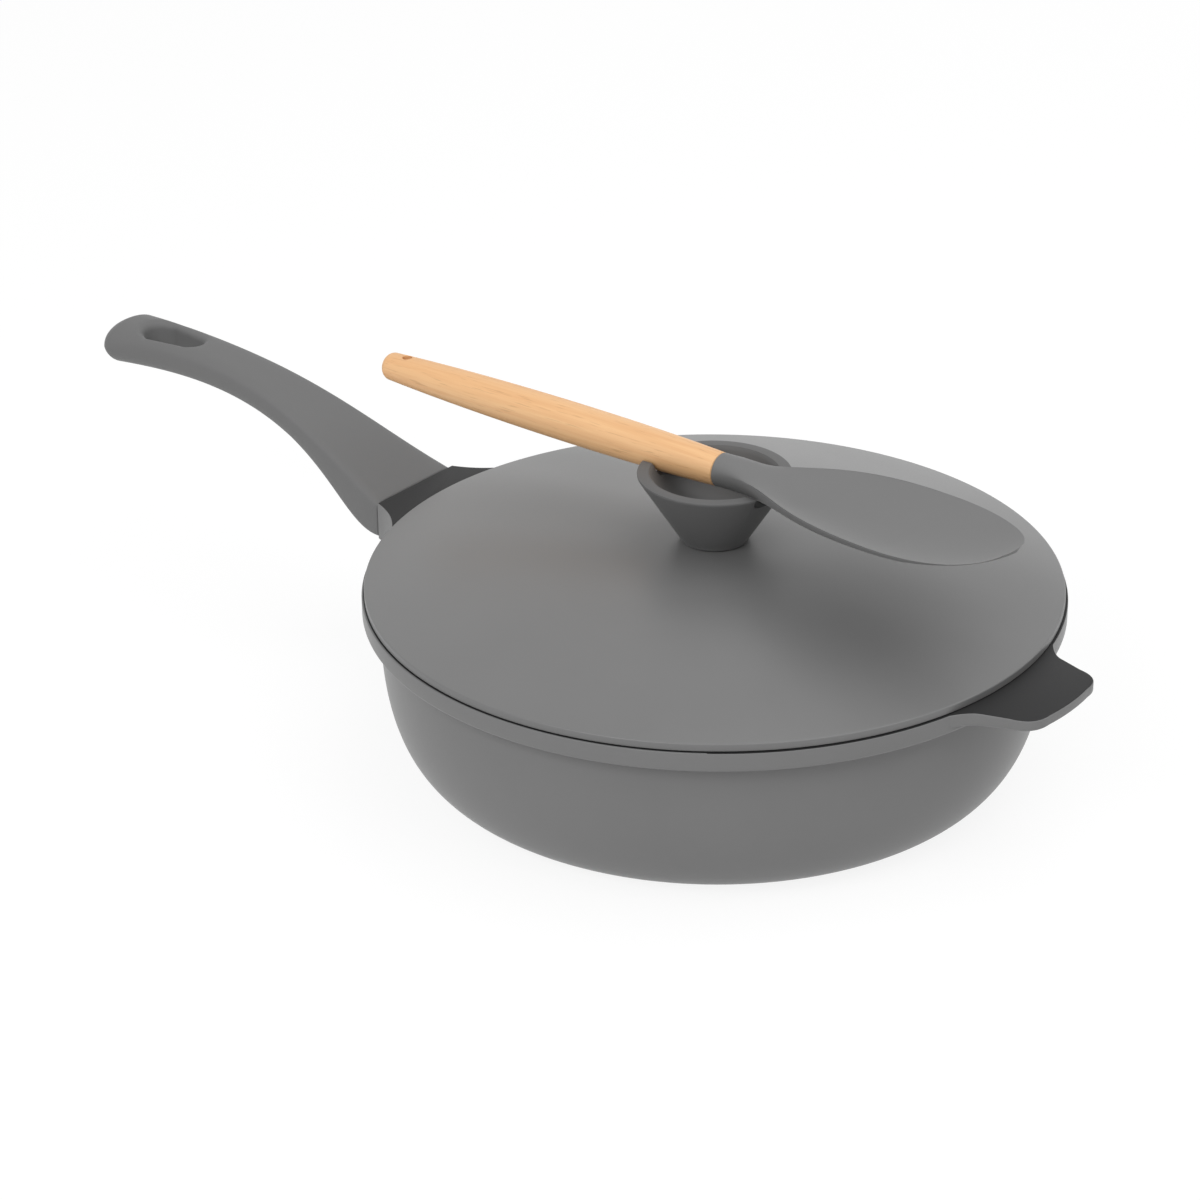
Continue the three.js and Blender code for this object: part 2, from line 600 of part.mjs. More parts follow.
/** Distance along the spoon from its joint, at a distance from the knob's axis along X. */
function alongSpoon(x) {
  return (x - SPOON_JOINT_FROM_KNOB_AXIS) / Math.cos(SPOON_TILT);
}

/** Height of the spoon's underside over the base, at a distance from the knob's axis along X. */
function spoonUnderside(x) {
  const axis = knobTop + spoonAxisRise(x);
  const along = alongSpoon(x);
  if (along < 0) return axis - curveAt(handleRadius, along);
  return axis + curveAt(headUnder, along);
}

/** Half width of the spoon level with the knob's top, at a distance from the knob's axis along X. */
function spoonHalfWidth(x) {
  const rise = spoonAxisRise(x);
  const along = alongSpoon(x);
  if (along < 0) return Math.sqrt(curveAt(handleRadius, along) ** 2 - rise ** 2);
  const edge = curveAt(headEdge, along);
  const depthShare = (edge + rise) / (edge - curveAt(headUnder, along));
  return headHalfWidth(along) * Math.sqrt(Math.max(0, 1 - depthShare ** 2));
}

/** One cross-section of the spoon head: round at the neck, a shallow dish along the bowl. */
function headSection(along) {
  const dished = THREE.MathUtils.smoothstep(along, ...SPOON_DISH_FROM_JOINT);
  const edge = curveAt(headEdge, along);
  const under = curveAt(headUnder, along);
  const toTip = (SPOON_HEAD_LENGTH - along) / SPOON_BOWL_TIP_LENGTH;
  const depth = SPOON_BOWL_DEPTH * Math.sqrt(Math.min(1, toTip));
  const middle = THREE.MathUtils.lerp(SPOON_JOINT_RADIUS, edge - depth, dished);
  const halfWidth = headHalfWidth(along);
  return Array.from({ length: SECTION_POINTS }, (_, i) => {
    const angle = 2 * Math.PI * (i + 0.5) / SECTION_POINTS;
    const lift = Math.abs(Math.sin(angle));
    const z = Math.sin(angle) > 0
      ? edge + (middle - edge) * lift ** (1 + dished)
      : edge + (under - edge) * lift;
    return v3(along, halfWidth * Math.cos(angle), z);
  });
}

/** Silicone head and neck, hollow where the core enters. */
function spoonHead() {
  const stations = sections(SEAT_GAP / 2, SPOON_HEAD_LENGTH, SPOON_BOWL_TIP_LENGTH);
  const skin = loft(stations.map(headSection));
  return solid(skin).subtract(solid(coreRod(SEAT_GAP)));
}

/** Turned wooden handle with a round end, a hanging hole and a bore for the core. */
function spoonHandle() {
  const end = -SPOON_HANDLE_LENGTH;
  const start = end + SPOON_HANDLE_END_RADIUS;
  const roundEnd = corner(0, start, SPOON_HANDLE_END_RADIUS, -90, 0, ROUND_END_POINTS);
  const side = Array.from({ length: LENGTH_SECTIONS }, (_, i) => {
    const along = THREE.MathUtils.lerp(start, -SEAT_GAP / 2, (i + 1) / LENGTH_SECTIONS);
    return v2(curveAt(handleRadius, along), along);
  });
  const wood = turned([...roundEnd, ...side, v2(0, -SEAT_GAP / 2)], SPOON_FACETS).rotateY(Math.PI / 2);
  const hole = post(SPOON_HOLE_DIAMETER / 2, -2 * SPOON_JOINT_RADIUS, 2 * SPOON_JOINT_RADIUS)
    .translate(end + SPOON_HOLE_FROM_END, 0, 0);
  return solid(wood).subtract(solid(hole)).subtract(solid(coreRod(SEAT_GAP)));
}

/** Core rod that joins head and handle, grown by a clearance where it is a bore. */
function coreRod(clearance) {
  const radius = SPOON_CORE_DIAMETER / 2 + clearance;
  const back = -SPOON_CORE_IN_WOOD - clearance;
  const front = SPOON_CORE_IN_HEAD + clearance;
  return turned([
    v2(0, back),
    v2(radius - SPOON_CORE_CHAMFER, back),
    v2(radius, back + SPOON_CORE_CHAMFER),
    v2(radius, front - SPOON_CORE_CHAMFER),
    v2(radius - SPOON_CORE_CHAMFER, front),
    v2(0, front),
  ], SMALL_FACETS).rotateY(Math.PI / 2);
}

/** The pan with its long handle and the handle's screw. */
function panGroup() {
  const washerBottom = handleShelf - SEAT_GAP - SPRING_WASHER_THICKNESS;
  const fasteners = new THREE.Group();
  fasteners.position.x = handleScrewX;
  fasteners.add(
    piece('handle_screw', screw(washerBottom - SEAT_GAP, tenonTop - SEAT_GAP), STEEL),
    piece('handle_spring_washer', springWasher(washerBottom), STEEL),
  );
  const group = new THREE.Group();
  group.add(
    piece('pan_body', panBody(), COATED_GREY),
    piece('long_handle', longHandle(), HANDLE_GREY),
    fasteners,
  );
  return group;
}

/** The lid with its knob and the knob's screw from below. */
function lidGroup() {
  const flatBottom = lidUnderside - SEAT_GAP - FLAT_WASHER_THICKNESS;
  const springBottom = flatBottom - SEAT_GAP - SPRING_WASHER_THICKNESS;
  const group = new THREE.Group();
  group.add(
    piece('lid_shell', lidShell(), COATED_GREY),
    piece('lid_knob', lidKnob(), KNOB_GREY),
    piece('knob_insert', knobInsert(), BRASS),
    piece('knob_screw', screw(springBottom - SEAT_GAP, knobFoot + INSERT_LENGTH - SEAT_GAP), STEEL),
    piece('knob_washer', washer(FLAT_WASHER_DIAMETER, flatBottom, FLAT_WASHER_THICKNESS), STEEL),
    piece('knob_spring_washer', springWasher(springBottom), STEEL),
  );
  return group;
}

/** The spoon, lying in the knob's notches with its handle end a little high. */
function spoonGroup() {
  const joint = SPOON_JOINT_FROM_KNOB_AXIS;
  const group = new THREE.Group();
  group.position.set(joint, 0, knobTop + spoonAxisRise(joint));
  group.rotation.y = SPOON_TILT;
  group.add(
    piece('spoon_handle', spoonHandle(), BEECH),
    piece('spoon_head', spoonHead(), SILICONE),
    piece('spoon_core', solid(coreRod(0)), NYLON),
  );
  return group;
}

const braisingPan = new THREE.Group();
braisingPan.add(panGroup(), lidGroup(), spoonGroup());

export default braisingPan;
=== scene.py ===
"""Braising pan with a domed lid, a cup-shaped knob and a spoon parked across it.

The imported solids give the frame. Every visible piece is modelled again here in the same place, with finer
curves and softened edges, and dressed in a procedural finish. Lengths are in metres.
"""

import logging
import math
from contextlib import contextmanager
from dataclasses import dataclass, field
from enum import Enum
from typing import Callable, Iterator, Sequence

import bpy
from mathutils import Matrix, Vector


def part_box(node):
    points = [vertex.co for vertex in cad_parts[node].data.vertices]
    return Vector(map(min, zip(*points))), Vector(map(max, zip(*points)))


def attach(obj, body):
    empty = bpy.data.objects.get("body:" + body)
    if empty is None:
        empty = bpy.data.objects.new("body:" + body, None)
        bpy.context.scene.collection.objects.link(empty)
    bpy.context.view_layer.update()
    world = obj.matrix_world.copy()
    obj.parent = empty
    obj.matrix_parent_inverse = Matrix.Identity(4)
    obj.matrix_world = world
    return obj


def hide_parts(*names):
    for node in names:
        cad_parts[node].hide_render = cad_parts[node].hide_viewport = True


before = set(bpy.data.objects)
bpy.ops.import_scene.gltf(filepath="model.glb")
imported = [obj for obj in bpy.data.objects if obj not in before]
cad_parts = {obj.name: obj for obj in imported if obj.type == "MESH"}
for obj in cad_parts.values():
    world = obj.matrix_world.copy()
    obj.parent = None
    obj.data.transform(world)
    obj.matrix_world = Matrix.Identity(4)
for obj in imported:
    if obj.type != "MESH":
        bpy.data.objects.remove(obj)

MM = 0.001
MERGE_DISTANCE = 1e-7
FACE_TOLERANCE = 0.1 * MM
LEVEL_NORMAL = 0.9
CUT_MARGIN = 2 * MM
SEAT_GAP = 0.3 * MM
SPRING_SLIT = 1 * MM
QUARTER_TURN = math.pi / 2
FULL_TURN = 2 * math.pi
HALF_STEP = 0.5
TIP_SHARE = 0.985
CURVE_HALVINGS = 48
NOISE_MIDDLE = 0.5

Point = tuple[float, float]
Pulls = tuple[Point, Point]
Place = tuple[float, float, float]
Colour = tuple[float, float, float]

log = logging.getLogger("braising_pan")


class Body(Enum):
    """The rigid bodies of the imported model."""

    PAN = "pan"
    LID = "lid"
    SPOON = "spoon"


class Slot(Enum):
    """The record's material slots of the pieces that are modelled again."""

    PAN_COATING = "pan_coating"
    LID_COATING = "lid_coating"
    HANDLE_GRIP = "handle_grip"
    KNOB_GRIP = "knob_grip"
    STEEL = "steel"
    BEECH = "beech"
    SILICONE = "silicone"


class Joinery(Enum):
    """Ways that one solid works on another."""

    ADD = "UNION"
    CUT = "DIFFERENCE"


def box_top(node: str) -> float:
    """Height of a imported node's highest point."""
    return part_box(node)[1].z


def box_bottom(node: str) -> float:
    """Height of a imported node's lowest point."""
    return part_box(node)[0].z


def box_half_width(node: str) -> float:
    """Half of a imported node's width across the handles' line."""
    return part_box(node)[1].y


# Curves


@dataclass(frozen=True)
class Sweep:
    """A cubic curve in the plane, given by its ends and two pulls."""

    start: Point
    first_pull: Point
    second_pull: Point
    end: Point

    def point(self, t: float) -> Point:
        """The point at a share of the way along.

        Args:
            t: The share, from 0 at the start to 1 at the end.

        Returns:
            The point there.
        """
        u = 1 - t
        weights = (u ** 3, 3 * u * u * t, 3 * u * t * t, t ** 3)
        corners = (self.start, self.first_pull, self.second_pull, self.end)
        return (
            sum(w * c[0] for w, c in zip(weights, corners)),
            sum(w * c[1] for w, c in zip(weights, corners)),
        )

    def at(self, first: float) -> float:
        """The second coordinate where the first has a given value.

        Args:
            first: A value between those of the curve's two ends.

        Returns:
            The second coordinate there.
        """
        low, high = 0.0, 1.0
        for _ in range(CURVE_HALVINGS):
            middle = (low + high) / 2
            if self.point(middle)[0] < first:
                low = middle
            else:
                high = middle
        return self.point(low)[1]

    def points(self, count: int) -> list[Point]:
        """Evenly stepped points from one end to the other."""
        return [self.point(i / count) for i in range(count + 1)]


def arc(centre: Point, radius: float, start: float, end: float, steps: int = 6) -> list[Point]:
    """Points along a circular arc.

    Args:
        centre: The arc's centre.
        radius: Its radius.
        start: Its first angle in degrees.
        end: Its last angle in degrees.
        steps: How many chords it has.

    Returns:
        The points from the first angle to the last.
    """
    angles = [math.radians(start + (end - start) * i / steps) for i in range(steps + 1)]
    return [(centre[0] + radius * math.cos(a), centre[1] + radius * math.sin(a)) for a in angles]


def round_points(radius: float, count: int) -> list[Point]:
    """Points spaced evenly round a circle about the origin."""
    return arc((0, 0), radius, 0, 360 - 360 / count, count - 1)


def bow(start: Point, pull: Point, end: Point, steps: int = 16) -> list[Point]:
    """Points of a curve that leaves towards a pull and arrives from it.

    Args:
        start: Where the curve begins.
        pull: The point that both of its ends head for.
        end: Where it ends.
        steps: How many chords it has.

    Returns:
        The points after the first one.
    """
    third = 2 / 3
    first = (start[0] + third * (pull[0] - start[0]), start[1] + third * (pull[1] - start[1]))
    second = (end[0] + third * (pull[0] - end[0]), end[1] + third * (pull[1] - end[1]))
    return Sweep(start, first, second, end).points(steps)[1:]


def smooth_step(value: float, low: float, high: float) -> float:
    """Zero below one value and one above another, eased between them."""
    share = min(1.0, max(0.0, (value - low) / (high - low)))
    return share * share * (3 - 2 * share)


def signed_power(value: float, power: float) -> float:
    """A power that keeps the sign of its base."""
    return math.copysign(abs(value) ** power, value)


def mirrored(half: Sequence[Point]) -> list[Point]:
    """A closed outline from the points of its half on the positive side of the first axis."""
    return [*half, *[(x, -y) for x, y in reversed(half) if abs(y) > MERGE_DISTANCE]]


# Workshop


def deselect_all() -> None:
    """Leaves edit mode and selects nothing."""
    if bpy.context.mode != "OBJECT":
        bpy.ops.object.mode_set(mode="OBJECT")
    bpy.ops.object.select_all(action="DESELECT")


def pick(piece: bpy.types.Object) -> None:
    """Makes one piece the only selected and active one.

    Args:
        piece: The piece.
    """
    deselect_all()
    piece.select_set(True)
    bpy.context.view_layer.objects.active = piece


@contextmanager
def editing(piece: bpy.types.Object) -> Iterator[None]:
    """Edit mode on one piece, by vertices and with nothing selected at first.

    Args:
        piece: The piece to edit.

    Yields:
        Nothing, while edit mode lasts.
    """
    pick(piece)
    bpy.ops.object.mode_set(mode="EDIT")
    bpy.ops.mesh.select_mode(type="VERT")
    bpy.ops.mesh.select_all(action="DESELECT")
    yield
    bpy.ops.object.mode_set(mode="OBJECT")


def close_up(piece: bpy.types.Object) -> bpy.types.Object:
    """Merges doubled vertices and turns every face outwards.

    Args:
        piece: The piece.

    Returns:
        The same piece.
    """
    with editing(piece):
        bpy.ops.mesh.select_all(action="SELECT")
        bpy.ops.mesh.remove_doubles(threshold=MERGE_DISTANCE)
        bpy.ops.mesh.normals_make_consistent(inside=False)
    return piece


def turned(name: str, profile: Sequence[Point], steps: int) -> bpy.types.Object:
    """Draws a profile point by point and spins it round the Z axis.

    Args:
        name: The new piece's name.
        profile: Points of radius and height, from one end of the section to the other.
        steps: Facets round the axis.

    Returns:
        The closed piece.
    """
    deselect_all()
    bpy.ops.mesh.primitive_plane_add(size=MM)
    piece = bpy.context.active_object
    piece.name = name
    bpy.ops.object.mode_set(mode="EDIT")
    bpy.ops.mesh.select_mode(type="VERT")
    bpy.ops.mesh.select_all(action="SELECT")
    bpy.ops.mesh.merge(type="CENTER")
    bpy.ops.transform.translate(value=(profile[0][0], 0, profile[0][1]))
    for (r0, z0), (r1, z1) in zip(profile, profile[1:]):
        bpy.ops.mesh.extrude_region_move(TRANSFORM_OT_translate={"value": (r1 - r0, 0, z1 - z0)})
    bpy.ops.mesh.select_all(action="SELECT")
    bpy.ops.mesh.spin(steps=steps, angle=FULL_TURN, center=(0, 0, 0), axis=(0, 0, 1))
    bpy.ops.object.mode_set(mode="OBJECT")
    return close_up(piece)


def ringed(profile: Sequence[Point]) -> list[Point]:
    """A section that ends where it began, for a ring."""
    return [*profile, profile[0]]


def extruded(name: str, outline: Sequence[Vector], along: Vector) -> bpy.types.Object:
    """Lays a round blank on a flat outline and extrudes it.

    Args:
        name: The new piece's name.
        outline: Corners of the flat face, in order.
        along: How far and which way the face is drawn out.

    Returns:
        The closed piece.
    """
    deselect_all()
    bpy.ops.mesh.primitive_circle_add(vertices=len(outline), radius=MM, fill_type="NGON")
    piece = bpy.context.active_object
    piece.name = name
    for vertex, corner in zip(piece.data.vertices, outline):
        vertex.co = corner
    with editing(piece):
        bpy.ops.mesh.select_all(action="SELECT")
        bpy.ops.mesh.extrude_region_move(TRANSFORM_OT_translate={"value": along})
    return close_up(piece)


def lofted(name: str, rings: int, points: int, place: Callable[[int, float], Vector]) -> bpy.types.Object:
    """Draws a tube ring by ring from a circle, then lays each ring on its own cross-section.

    Args:
        name: The new piece's name.
        rings: How many cross-sections there are.
        points: Points round each of them.
        place: Gives a point from a ring's number and an angle round it.

    Returns:
        The closed piece.
    """
    deselect_all()
    bpy.ops.mesh.primitive_circle_add(vertices=points, radius=1, rotation=(0, QUARTER_TURN, 0))
    piece = bpy.context.active_object
    piece.name = name
    bpy.ops.object.transform_apply(location=True, rotation=True, scale=True)
    bpy.ops.object.mode_set(mode="EDIT")
    bpy.ops.mesh.select_mode(type="VERT")
    bpy.ops.mesh.select_all(action="SELECT")
    for _ in range(rings - 1):
        bpy.ops.mesh.extrude_region_move(TRANSFORM_OT_translate={"value": (1, 0, 0)})
    bpy.ops.mesh.edge_face_add()
    bpy.ops.mesh.poke()
    bpy.ops.object.mode_set(mode="OBJECT")
    select_vertices(piece, lambda co: co.x < HALF_STEP)
    with kept_editing(piece):
        bpy.ops.mesh.edge_face_add()
        bpy.ops.mesh.poke()
    angles = [FULL_TURN * i / points for i in range(points)]
    for vertex in piece.data.vertices:
        ring = round(vertex.co.x)
        if math.hypot(vertex.co.y, vertex.co.z) < HALF_STEP:
            hub = [place(ring, angle) for angle in angles]
            vertex.co = sum(hub, Vector()) / points
        else:
            vertex.co = place(ring, math.atan2(vertex.co.z, vertex.co.y))
    return close_up(piece)


@contextmanager
def kept_editing(piece: bpy.types.Object, element: str = "VERT") -> Iterator[None]:
    """Edit mode on one piece, with what was selected in code still selected.

    Args:
        piece: The piece to edit.
        element: The kind of element that is selected: VERT, EDGE or FACE.

    Yields:
        Nothing, while edit mode lasts.
    """
    pick(piece)
    bpy.context.tool_settings.mesh_select_mode = (element == "VERT", element == "EDGE", element == "FACE")
    bpy.ops.object.mode_set(mode="EDIT")
    yield
    bpy.ops.object.mode_set(mode="OBJECT")


def clear_selection(piece: bpy.types.Object) -> None:
    """Selects nothing in a piece's mesh."""
    for elements in (piece.data.polygons, piece.data.edges, piece.data.vertices):
        elements.foreach_set("select", [False] * len(elements))


def select_vertices(piece: bpy.types.Object, wanted: Callable[[Vector], bool]) -> None:
    """Selects some vertices and the edges between them.

    Args:
        piece: The piece.
        wanted: Tells a vertex to select by its place.
    """
    clear_selection(piece)
    for vertex in piece.data.vertices:
        vertex.select = wanted(vertex.co)
    for edge in piece.data.edges:
        edge.select = all(piece.data.vertices[v].select for v in edge.vertices)


def select_edges(piece: bpy.types.Object, wanted: Callable[[Vector, Vector], bool]) -> None:
    """Selects some edges and their ends.

    Args:
        piece: The piece.
        wanted: Tells an edge to select by its two ends.
    """
    clear_selection(piece)
    vertices = piece.data.vertices
    for edge in piece.data.edges:
        edge.select = wanted(*(vertices[v].co for v in edge.vertices))
        if edge.select:
            for v in edge.vertices:
                vertices[v].select = True


def soften(piece: bpy.types.Object, wanted: Callable[[Vector, Vector], bool], radius: float,
           segments: int = 3) -> None:
    """Rounds the wanted edges.

    Args:
        piece: The piece.
        wanted: Tells an edge to round by its two ends.
        radius: The width of the rounding.
        segments: Facets across it.
    """
    select_edges(piece, wanted)
    with kept_editing(piece, "EDGE"):
        bpy.ops.mesh.bevel(offset=radius, segments=segments, affect="EDGES")


def work(piece: bpy.types.Object, tool: bpy.types.Object, how: Joinery) -> None:
    """Adds one solid to another or cuts it away, and removes it.

    Args:
        piece: The solid that is kept.
        tool: The solid that is used up.
        how: Whether it adds or cuts.
    """
    pick(piece)
    bpy.ops.object.modifier_add(type="BOOLEAN")
    modifier = piece.modifiers[-1]
    modifier.operation = how.value
    modifier.solver = "EXACT"
    modifier.object = tool
    bpy.ops.object.modifier_apply(modifier=modifier.name)
    bpy.data.objects.remove(tool)


def smooth(piece: bpy.types.Object, degrees: float = 32) -> None:
    """Shades a piece smooth, apart from edges sharper than an angle."""
    pick(piece)
    bpy.ops.object.shade_smooth_by_angle(angle=math.radians(degrees))


def dress(piece: bpy.types.Object, material: bpy.types.Material) -> None:
    """Gives a piece one material all over."""
    piece.data.materials.clear()
    piece.data.materials.append(material)


def dress_faces(piece: bpy.types.Object, material: bpy.types.Material,
                wanted: Callable[[Vector, Vector], bool]) -> None:
    """Gives some faces of a dressed piece another material.

    Args:
        piece: The piece.
        material: The further material.
        wanted: Tells a face to dress by its centre and normal.
    """
    piece.data.materials.append(material)
    slot = len(piece.data.materials) - 1
    for face in piece.data.polygons:
        if wanted(face.center, face.normal):
            face.material_index = slot


def seat(piece: bpy.types.Object, body: Body, slot: Slot, *nodes: str) -> None:
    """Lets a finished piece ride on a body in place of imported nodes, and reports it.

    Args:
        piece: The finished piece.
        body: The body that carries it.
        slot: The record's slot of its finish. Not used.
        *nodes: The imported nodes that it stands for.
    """
    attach(piece, body.value)
    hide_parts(*nodes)
    faces = len(piece.data.polygons)
    log.info("%s: %d faces on %s for %s", piece.name, faces, body.value, ", ".join(nodes))


# Finishes


class Signal:
    """A node's output that can stand in sums: each operator adds one Math node."""

    def __init__(self, bench: "NodeBench", socket: bpy.types.NodeSocket) -> None:
        """Keeps the bench that adds nodes, and the socket."""
        self.bench = bench
        self.socket = socket

    def _sum(self, operation: str, first: "Signal | float", second: "Signal | float") -> "Signal":
        """One Math node on two values."""
        return self.bench.add("ShaderNodeMath", {"operation": operation}, {0: first, 1: second})

    def __add__(self, other: "Signal | float") -> "Signal":
        """This plus another."""
        return self._sum("ADD", self, other)

    def __radd__(self, other: float) -> "Signal":
        """A number plus this."""
        return self._sum("ADD", other, self)

    def __sub__(self, other: "Signal | float") -> "Signal":
        """This less another."""
        return self._sum("SUBTRACT", self, other)

    def __rsub__(self, other: float) -> "Signal":
        """A number less this."""
        return self._sum("SUBTRACT", other, self)

    def __mul__(self, other: "Signal | float") -> "Signal":
        """This times another."""
        return self._sum("MULTIPLY", self, other)

    def __rmul__(self, other: float) -> "Signal":
        """A number times this."""
        return self._sum("MULTIPLY", other, self)


class NodeBench:
    """Adds nodes to one node tree."""

    def __init__(self, tree: bpy.types.NodeTree) -> None:
        """Starts from an empty tree."""
        self.tree = tree
        tree.nodes.clear()

    def add(self, kind: str, settings: dict | None = None, inputs: dict | None = None,
            output: int | str = 0) -> Signal:
        """Adds one node.

        Args:
            kind: The node's type.
            settings: Its settings, set first. Stops are a colour ramp's positions and levels.
            inputs: Values or signals for its sockets, by name or number.
            output: The socket that the result stands for.

        Returns:
            The chosen output.
        """
        node = self.tree.nodes.new(kind)
        for name, value in (settings or {}).items():
            if name == "stops":
                self._set_stops(node.color_ramp, value)
            else:
                setattr(node, name, value)
        for key, value in (inputs or {}).items():
            if isinstance(value, Signal):
                self.tree.links.new(value.socket, node.inputs[key])
            else:
                node.inputs[key].default_value = value
        return Signal(self, node.outputs[output] if node.outputs else None)

    @staticmethod
    def _set_stops(ramp: bpy.types.ColorRamp, stops: Sequence[tuple[float, float]]) -> None:
        """Sets a ramp's grey stops.

        Args:
            ramp: The ramp.
            stops: Positions and levels.
        """
        while len(ramp.elements) > len(stops):
            ramp.elements.remove(ramp.elements[-1])
        for i, (position, level) in enumerate(stops):
            element = ramp.elements[i] if i < len(ramp.elements) else ramp.elements.new(position)
            element.position = position
            element.color = (level, level, level, 1)

    def place(self, stretch: Place = (1, 1, 1)) -> Signal:
        """Object coordinates, stretched."""
        place = self.add("ShaderNodeTexCoord", output="Object")
        return self.add("ShaderNodeMapping", None, {"Vector": place, "Scale": stretch})

    def noise(self, place: Signal, scale: float, detail: float) -> Signal:
        """Cloudy noise from 0 to 1 round one half."""
        return self.add("ShaderNodeTexNoise", None, {"Vector": place, "Scale": scale, "Detail": detail})

    def ramp(self, value: Signal, stops: Sequence[tuple[float, float]]) -> Signal:
        """A value led through grey stops."""
        return self.add("ShaderNodeValToRGB", {"stops": stops}, {0: value})

    def mix(self, share: Signal, first: "Colour | Signal", second: "Colour | Signal") -> Signal:
        """A colour between two, by a share."""
        low, high = (c if isinstance(c, Signal) else (*c, 1) for c in (first, second))
        return self.add("ShaderNodeMix", {"data_type": "RGBA"}, {0: share, 6: low, 7: high}, output=2)

    def bump(self, height: Signal, strength: float, depth: float) -> Signal:
        """A normal from heights."""
        return self.add("ShaderNodeBump", None, {"Height": height, "Strength": strength, "Distance": depth})

    def surface(self, inputs: dict) -> None:
        """A principled surface as the tree's result."""
        shader = self.add("ShaderNodeBsdfPrincipled", None, inputs)
        self.add("ShaderNodeOutputMaterial", None, {"Surface": shader})


def shade(colour: Colour, factor: float) -> Colour:
    """A colour made darker or lighter by a factor."""
    return tuple(min(1.0, c * factor) for c in colour)


@dataclass(frozen=True)
class Finish:
    """A named finish that can make its material."""

    name: str
    colour: Colour

    def material(self) -> bpy.types.Material:
        """Makes the finish as a Blender material.

        Returns:
            The material.
        """
        material = bpy.data.materials.new(self.name)
        material.use_nodes = True
        self.lay(NodeBench(material.node_tree))
        return material

    def lay(self, bench: NodeBench) -> None:
        """Adds the nodes of the finish.

        Args:
            bench: The bench of the material's node tree.
        """
        raise NotImplementedError


@dataclass(frozen=True)
class Coating(Finish):
    """A satin coat or moulding with a fine grain and faint clouds in its tone."""

    roughness: float = 0.5
    specular: float = 0.5
    grain_size: float = 0.7 * MM
    grain_depth: float = 0.05 * MM
    grain_strength: float = 0.12
    grain_detail: float = 2
    cloud_size: float = 40 * MM
    cloud_detail: float = 3
    cloud_share: float = 0.05
    gloss_drift: float = 0.08
    sheen: float = 0.12
    sheen_roughness: float = 0.28
    gloss_coat: float = 0.0
    gloss_coat_roughness: float = 0.2

    def lay(self, bench: NodeBench) -> None:
        """Adds the nodes of the finish.

        Args:
            bench: The bench of the material's node tree.
        """
        place = bench.place()
        cloud = bench.noise(place, 1 / self.cloud_size, self.cloud_detail)
        grain = bench.noise(place, 1 / self.grain_size, self.grain_detail)
        dark = shade(self.colour, 1 - self.cloud_share)
        light = shade(self.colour, 1 + self.cloud_share)
        drift = (cloud - NOISE_MIDDLE) * self.gloss_drift + (grain - NOISE_MIDDLE) * self.gloss_drift
        bench.surface({
            "Base Color": bench.mix(cloud, dark, light),
            "Roughness": drift + self.roughness,
            "Normal": bench.bump(grain, self.grain_strength, self.grain_depth),
            "Specular IOR Level": self.specular,
            "Sheen Weight": self.sheen,
            "Sheen Roughness": self.sheen_roughness,
            "Coat Weight": self.gloss_coat,
            "Coat Roughness": self.gloss_coat_roughness,
        })


@dataclass(frozen=True)
class TurnedMetal(Finish):
    """Bare metal with fine rings round the Z axis from turning."""

    roughness: float = 0.38
    metallic: float = 1.0
    ring_pitch: float = 0.55 * MM
    ring_depth: float = 0.04 * MM
    ring_strength: float = 0.25
    ring_wander: float = 0.6
    ring_detail: float = 2
    ring_gloss: float = 0.06
    cloud_scale: float = 60
    cloud_detail: float = 3
    cloud_gloss: float = 0.1
    dark_share: float = 0.92
    light_share: float = 1.06

    def lay(self, bench: NodeBench) -> None:
        """Adds the nodes of the finish.

        Args:
            bench: The bench of the material's node tree.
        """
        place = bench.place()
        rings = bench.add("ShaderNodeTexWave", {"wave_type": "RINGS", "rings_direction": "Z"},
                          {"Vector": place, "Scale": 1 / (self.ring_pitch * FULL_TURN),
                           "Distortion": self.ring_wander, "Detail": self.ring_detail})
        cloud = bench.noise(place, self.cloud_scale, self.cloud_detail)
        dark, light = (shade(self.colour, share) for share in (self.dark_share, self.light_share))
        drift = cloud * self.cloud_gloss + rings * self.ring_gloss
        mean_drift = (self.cloud_gloss + self.ring_gloss) / 2
        bench.surface({
            "Base Color": bench.mix(cloud, dark, light),
            "Roughness": drift + self.roughness - mean_drift,
            "Metallic": self.metallic,
            "Normal": bench.bump(rings, self.ring_strength, self.ring_depth),
        })


@dataclass(frozen=True)
class GrainLayer:
    """One layer of a wood's grain: stretched noise that counts between two of its levels."""

    stretch: Place
    detail: float
    start: float
    full: float
    share: float

    def lay(self, bench: NodeBench) -> Signal:
        """How strong the layer is at each place, from 0 to 1."""
        noise = bench.noise(bench.place(self.stretch), 1, self.detail)
        return bench.ramp(noise, [(self.start, 0), (self.full, 1)])


